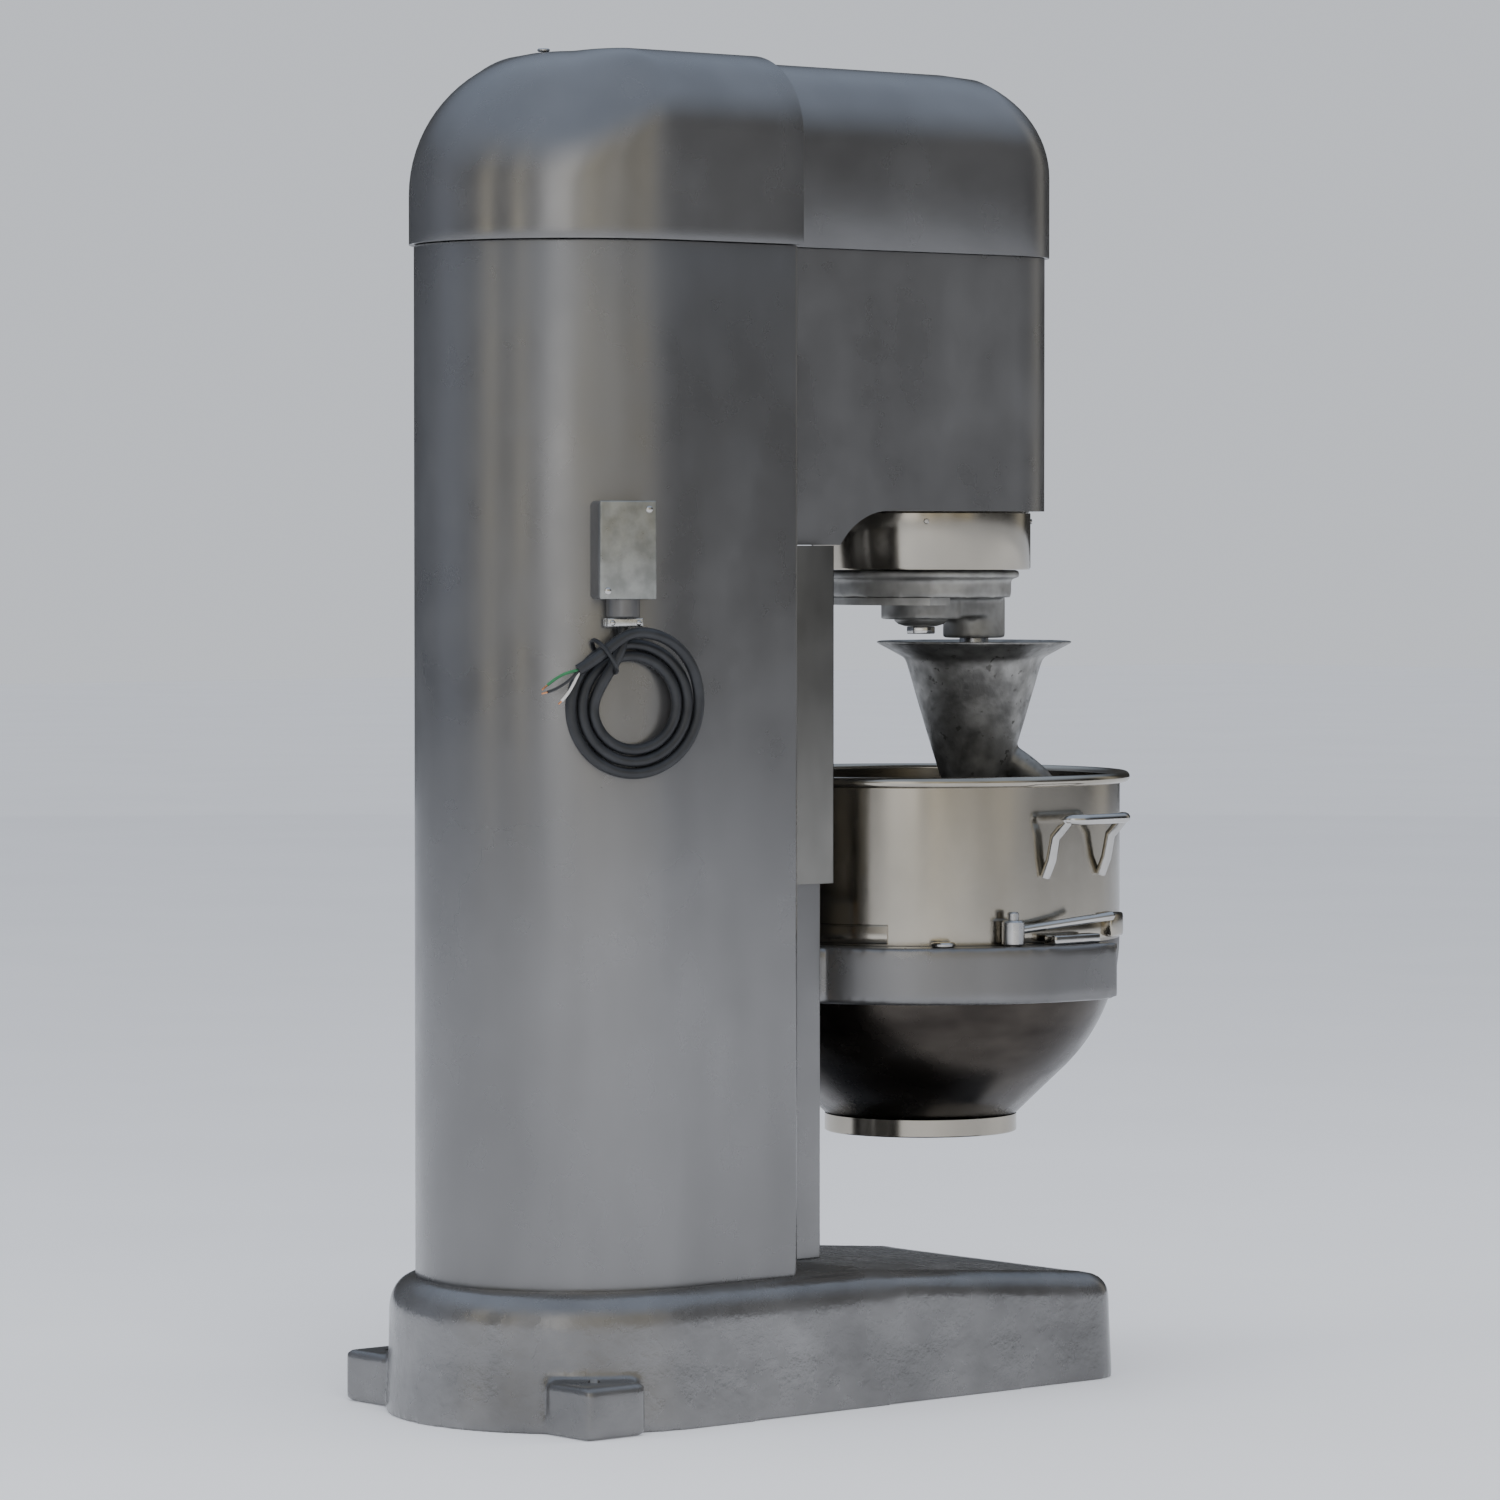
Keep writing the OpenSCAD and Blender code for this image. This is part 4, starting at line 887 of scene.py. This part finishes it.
class MIXER_OT_ways(Build, bpy.types.Operator):
    """Builds the covers over the column's ways"""
    bl_idname = "mixer.ways"
    bl_label = "Way covers"

    def build(self):
        parts, screws = [], []
        lo, hi = low("way_covers"), high("way_covers")
        for s in (-1, 1):
            xs = sorted((s * 0.193, s * 0.195))
            parts.append(block("way", (xs[0], lo.y, lo.z), (xs[1], hi.y, hi.z), 0.0006))
            xs = sorted((s * 0.172, s * 0.195))
            parts.append(block("way", (xs[0], lo.y, lo.z), (xs[1], lo.y + 0.002, hi.z), 0.0006))
            for z in (lo.z + 0.02, lo.z + 0.29, hi.z - 0.02):
                head = lathe("way_screw", [(0, 0), (0.005, 0), (0.0048, 0.0012), (0.003, 0.0026), (0, 0.003)], steps=24)
                turn(head, math.radians(90 * s), "Y")
                screws.append(shift(head, (s * 0.195, COLUMN_FRONT - 0.02, z)))
        done(joined("way_cover_sheets", parts), skin("way steel"), "frame", "way_covers")
        done(joined("way_screw_heads", screws), skin("machined steel"), "frame", "way_screws")


class MIXER_OT_supply(Build, bpy.types.Operator):
    """Builds the junction box, the cable clamp and the coiled cord"""
    bl_idname = "mixer.supply"
    bl_label = "Supply"

    def build(self):
        a = math.radians(156)
        r, z0, z1, half = COLUMN_R, low("junction_cover").z, high("junction_cover").z, 0.041
        hub_out = r + 0.023
        box = block("box", (r - 0.008, -half, z0), (r + 0.047, half, z1), 0.007, 5)
        hub = rod("hub", 0.0235, z0 - 0.026, z0 + 0.003, (hub_out, 0), 0.002)
        done(facing(joined("supply_box", [box, hub]), 156), skin("box paint"), "frame", "junction_box")
        lid = block("supply_lid", (r + 0.0472, -half, z0), (r + 0.052, half, z1), 0.0022, 3)
        done(facing(lid, 156), skin("zinc"), "frame", "junction_cover")
        parts = []
        for y, z, out, size in ((0.030, z1 - 0.012, r + 0.052, 0.005), (-0.030, z0 + 0.012, r + 0.052, 0.005),
                                (-0.019, z0 - 0.033, hub_out + 0.014, 0.004), (0.019, z0 - 0.033, hub_out + 0.014, 0.004)):
            head = lathe("lid_screw", [(0, 0), (size, 0), (size * 0.96, 0.0014), (size * 0.6, 0.0027), (0, 0.003)], steps=24)
            turn(head, math.radians(90), "Y")
            parts.append(facing(shift(head, (out, y, z)), 156))
        done(joined("supply_screws", parts), skin("bright steel"), "frame", "junction_screws")
        lo = low("cable_clamp").z
        jaws = [block("jaw", (hub_out - 0.014, -0.026, lo), (hub_out - 0.0004, 0.026, z0 - 0.026), 0.0025),
                block("jaw", (hub_out + 0.0004, -0.026, lo), (hub_out + 0.014, 0.026, z0 - 0.026), 0.0025)]
        done(facing(joined("cord_clamp", jaws), 156), skin("bright zinc"), "frame", "cable_clamp")
        self.cord(hub_out, lo)

    def cord(self, hub_out, lo):
        turned, d, turns = 160, sizes().cord_diameter, sizes().coil_turns
        wall, centre = COLUMN_R + 0.0087, 1.022

        def at(v, z, out):
            return on_back(turned, out, v, z)

        exit = on_back(156, hub_out, 0, lo)
        points = [exit] + [at(*p) for p in (
            (-0.0180, 1.123, 0.2570), (-0.0205, 1.108, 0.2600), (-0.0270, 1.092, 0.2600), (-0.0360, 1.075, 0.2580),
            (-0.0460, 1.057, 0.2530), (-0.0545, 1.038, 0.2465))]
        steps = int(turns * 30)
        for i in range(steps + 1):
            t = turns * i / steps
            rad = 0.058 + 0.0168 * t
            b = math.pi + TAU * t
            rise = max(0.0, min(1.0, (t - turns + 0.26) / 0.26))
            points.append(at(rad * math.cos(b), centre + rad * math.sin(b), wall + 0.034 * rise * rise * (3 - 2 * rise)))
        points += [at(*p) for p in ((-0.018, 1.1235, 0.2785), (-0.035, 1.113, 0.2780), (-0.052, 1.099, 0.2765),
                                    (-0.067, 1.087, 0.2750), (-0.080, 1.079, 0.2730), (-0.090, 1.0735, 0.2720))]
        clear()
        curve = bpy.data.curves.new("supply_cord", "CURVE")
        curve.dimensions = "3D"
        curve.bevel_depth = d / 2
        curve.bevel_resolution = 5
        curve.resolution_u = 4
        curve.use_fill_caps = True
        spline = curve.splines.new("NURBS")
        spline.points.add(len(points) - 1)
        for knot, p in zip(spline.points, points):
            knot.co = (*p, 1)
        spline.order_u = 4
        spline.use_endpoint_u = True
        cord = bpy.data.objects.new("supply_cord", curve)
        bpy.context.scene.collection.objects.link(cord)
        curve.materials.append(skin("cord sheath"))
        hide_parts("cord_lead", "cord_coil", "cord_tail")
        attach(cord, "frame")

        loop = []
        for i in range(40):
            b = TAU * i / 40
            rad = 0.0845 + 0.0275 * math.cos(b)
            loop.append(at(rad * math.cos(math.radians(124)), centre + rad * math.sin(math.radians(124)),
                           0.2605 + 0.0285 * math.sin(b)))
        tie = tube("cord_tie", loop, 0.0032, 12, closed=True)
        wires = [tie]
        end = (-0.090, 1.0735, 0.272)
        for name, colour, tip in (("green", "green wire", (-0.145, 1.046, 0.268)), ("black", "black wire", (-0.147, 1.041, 0.274)),
                                  ("white", "white wire", (-0.120, 1.026, 0.266))):
            path, bare = [], []
            for k in range(15):
                f = k / 14
                sag = 0.006 * math.sin(f * math.pi) * (1 if name == "green" else -1)
                p = at(end[0] + 0.003 + (tip[0] - end[0]) * f, end[1] + (tip[1] - end[1]) * f + sag,
                       end[2] + (tip[2] - end[2]) * f)
                if f < 0.86:
                    path.append(p)
                if f > 0.80:
                    bare.append(p)
            wires.append(tube("wire_" + name, path, 0.0021, 12))
            wires.append(tube("copper_" + name, bare, 0.0013, 10))
            done(wires[-2], skin(colour), "frame")
            done(wires[-1], skin("copper wire"), "frame")
        done(tie, skin("cord sheath"), "frame")


class MIXER_OT_controls(Build, bpy.types.Operator):
    """Paints the control box, the buttons, the lift switch and the speed lever that come from the frame"""
    bl_idname = "mixer.controls"
    bl_label = "Controls"

    def build(self):
        paint_node(skin("box paint"), "control_box")
        paint_node(skin("green button"), "start_button")
        paint_node(skin("red button"), "stop_button")
        paint_node(skin("black knob"), "lift_switch", "shift_lever")


class MIXER_OT_stage(Build, bpy.types.Operator):
    """Adds the floor, the lights and the camera"""
    bl_idname = "mixer.stage"
    bl_label = "Floor, lights and camera"

    def drum(self):
        """The room that only polished and painted metal sees: bright and dark walls round the mixer."""
        clear()
        bpy.ops.mesh.primitive_uv_sphere_add(segments=64, ring_count=32, radius=20, location=(0, 0.4, 1.0))
        room = bpy.context.object
        room.name = room.data.name = "reflected_room"
        room.visible_camera = room.visible_diffuse = room.visible_shadow = room.visible_transmission = False
        made = bpy.data.materials.new("reflected room")
        made.use_nodes = True
        tree = made.node_tree
        tree.nodes.clear()
        place = tree.nodes.new("ShaderNodeTexCoord").outputs["Object"]
        split = tree.nodes.new("ShaderNodeSeparateXYZ")
        tree.links.new(place, split.inputs["Vector"])
        angle = tree.nodes.new("ShaderNodeMath")
        angle.operation = "ARCTAN2"
        # zero is toward the camera's side; it grows clockwise seen from above, so to the picture's right
        facing_x, facing_y = -0.7826, 0.6225
        along, side = tree.nodes.new("ShaderNodeVectorMath"), tree.nodes.new("ShaderNodeVectorMath")
        for node, vector in ((along, (facing_x, facing_y, 0)), (side, (-facing_y, facing_x, 0))):
            node.operation = "DOT_PRODUCT"
            node.inputs[1].default_value = vector
            tree.links.new(place, node.inputs[0])
        tree.links.new(side.outputs["Value"], angle.inputs[0])
        tree.links.new(along.outputs["Value"], angle.inputs[1])
        turned = spread(tree, angle.outputs["Value"], -math.pi, math.pi, 0.0, 1.0)
        walls = tree.nodes.new("ShaderNodeValToRGB")
        ramp = walls.color_ramp
        ramp.interpolation = "EASE"
        stops = ((-180, 0.06, 0), (-128, 0.12, 1), (-100, 0.30, 1), (-74, 0.13, 0.5), (-62, 0.95, -1), (-57, 0.15, 0),
                 (-46, 0.20, 0), (-40, 1.15, -1), (-34, 0.32, 0), (-28, 0.34, 0), (-18, 1.5, 0), (-7, 1.6, -0.2),
                 (-1, 0.66, -0.6), (6, 0.90, -1), (14, 0.55, -1), (24, 0.72, -0.6), (34, 0.40, -1), (48, 0.55, -1),
                 (58, 0.34, 0), (66, 0.13, 0), (82, 0.11, 0), (105, 0.04, 0), (127, 0.42, -0.5), (140, 0.04, 0),
                 (180, 0.06, 0))
        while len(ramp.elements) > 1:
            ramp.elements.remove(ramp.elements[-1])
        for i, (where, light, warm) in enumerate(stops):
            stop = ramp.elements[0] if i == 0 else ramp.elements.new((where + 180) / 360)
            stop.position = (where + 180) / 360
            stop.color = (light * (1 - 0.10 * warm), light, light * (1 + 0.24 * warm), 1)
        tree.links.new(turned, walls.inputs["Fac"])
        height = spread(tree, split.outputs["Z"], 6.0, 14.0, 0.0, 1.0)
        sky = blend_colours(tree, height, walls.outputs["Color"], (0.50, 0.60, 0.78))
        ground = spread(tree, split.outputs["Z"], -5.0, -1.5, 0.0, 1.0)
        lit = blend_colours(tree, ground, (0.16, 0.155, 0.15), sky)
        glow, out = tree.nodes.new("ShaderNodeEmission"), tree.nodes.new("ShaderNodeOutputMaterial")
        tree.links.new(lit, glow.inputs["Color"])
        tree.links.new(glow.outputs["Emission"], out.inputs["Surface"])
        room.data.materials.append(made)
        return room

    def build(self):
        clear()
        bpy.ops.mesh.primitive_plane_add(size=80, location=(0, 0, 0))
        floor = bpy.context.object
        floor.name = floor.data.name = "floor"
        floor.data.materials.append(skin("pale floor"))
        world = bpy.data.worlds.new("pale room")
        bpy.context.scene.world = world
        world.use_nodes = True
        world.node_tree.nodes["Background"].inputs["Color"].default_value = (0.78, 0.81, 0.87, 1)
        world.node_tree.nodes["Background"].inputs["Strength"].default_value = 0.9
        self.drum()
        middle = Vector((0, 0.35, 1.0))
        for name, place, power, size, tint in (
                ("key", (-6.5, 4.0, 4.2), 230, 3.2, (1, 0.98, 0.95)),
                ("left", (1.5, 7.5, 3.2), 120, 2.6, (0.93, 0.96, 1)),
                ("top", (-1.0, 1.5, 6.5), 120, 3.0, (0.95, 0.97, 1)),
                ("front", (-3.0, -6.0, 2.6), 90, 2.6, (1, 0.98, 0.96))):
            clear()
            bpy.ops.object.light_add(type="AREA", location=place)
            lamp = bpy.context.object
            lamp.name = name
            lamp.visible_glossy = False
            lamp.data.energy, lamp.data.size, lamp.data.color = power, size, tint
            lamp.rotation_euler = (middle - Vector(place)).to_track_quat("-Z", "Y").to_euler()
        toward, across = Vector((-0.7826, 0.6225, 0)), Vector((-0.6225, -0.7826, 0))
        bpy.ops.object.camera_add(location=Vector((0, 0.6886, 1.250)) + 9.09 * toward)
        camera = bpy.context.object
        camera.data.lens = 151.6
        camera.data.clip_end = 200
        aim = -toward + 0.02952 * across - 0.0327 * Vector((0, 0, 1))
        camera.rotation_euler = aim.to_track_quat("-Z", "Y").to_euler()
        bpy.context.scene.camera = camera


PIECES = (MIXER_OT_materials, MIXER_OT_inside, MIXER_OT_base, MIXER_OT_column, MIXER_OT_head, MIXER_OT_planetary,
          MIXER_OT_hook, MIXER_OT_bowl, MIXER_OT_yoke, MIXER_OT_ways, MIXER_OT_supply, MIXER_OT_controls,
          MIXER_OT_stage)


class MIXER_PT_panel(bpy.types.Panel):
    """Sizes, colours and the buttons that build the mixer"""
    bl_label = "Planetary mixer"
    bl_idname = "MIXER_PT_panel"
    bl_space_type = "VIEW_3D"
    bl_region_type = "UI"
    bl_category = "Mixer"

    def draw(self, context):
        for group_name in ("mixer_sizes", "mixer_colours"):
            settings = getattr(context.scene, group_name)
            for key in settings.__annotations__:
                self.layout.prop(settings, key)
        for piece in PIECES:
            self.layout.operator(piece.bl_idname)


CLASSES = (MixerSizes, MixerColours) + PIECES + (MIXER_PT_panel,)


def register():
    for kind in CLASSES:
        bpy.utils.register_class(kind)
    bpy.types.Scene.mixer_sizes = bpy.props.PointerProperty(type=MixerSizes)
    bpy.types.Scene.mixer_colours = bpy.props.PointerProperty(type=MixerColours)


def unregister():
    del bpy.types.Scene.mixer_sizes
    del bpy.types.Scene.mixer_colours
    for kind in reversed(CLASSES):
        bpy.utils.unregister_class(kind)


def main():
    register()
    for piece in PIECES:
        getattr(bpy.ops.mixer, piece.bl_idname.split(".")[1])()


if __name__ == "__main__":
    main()
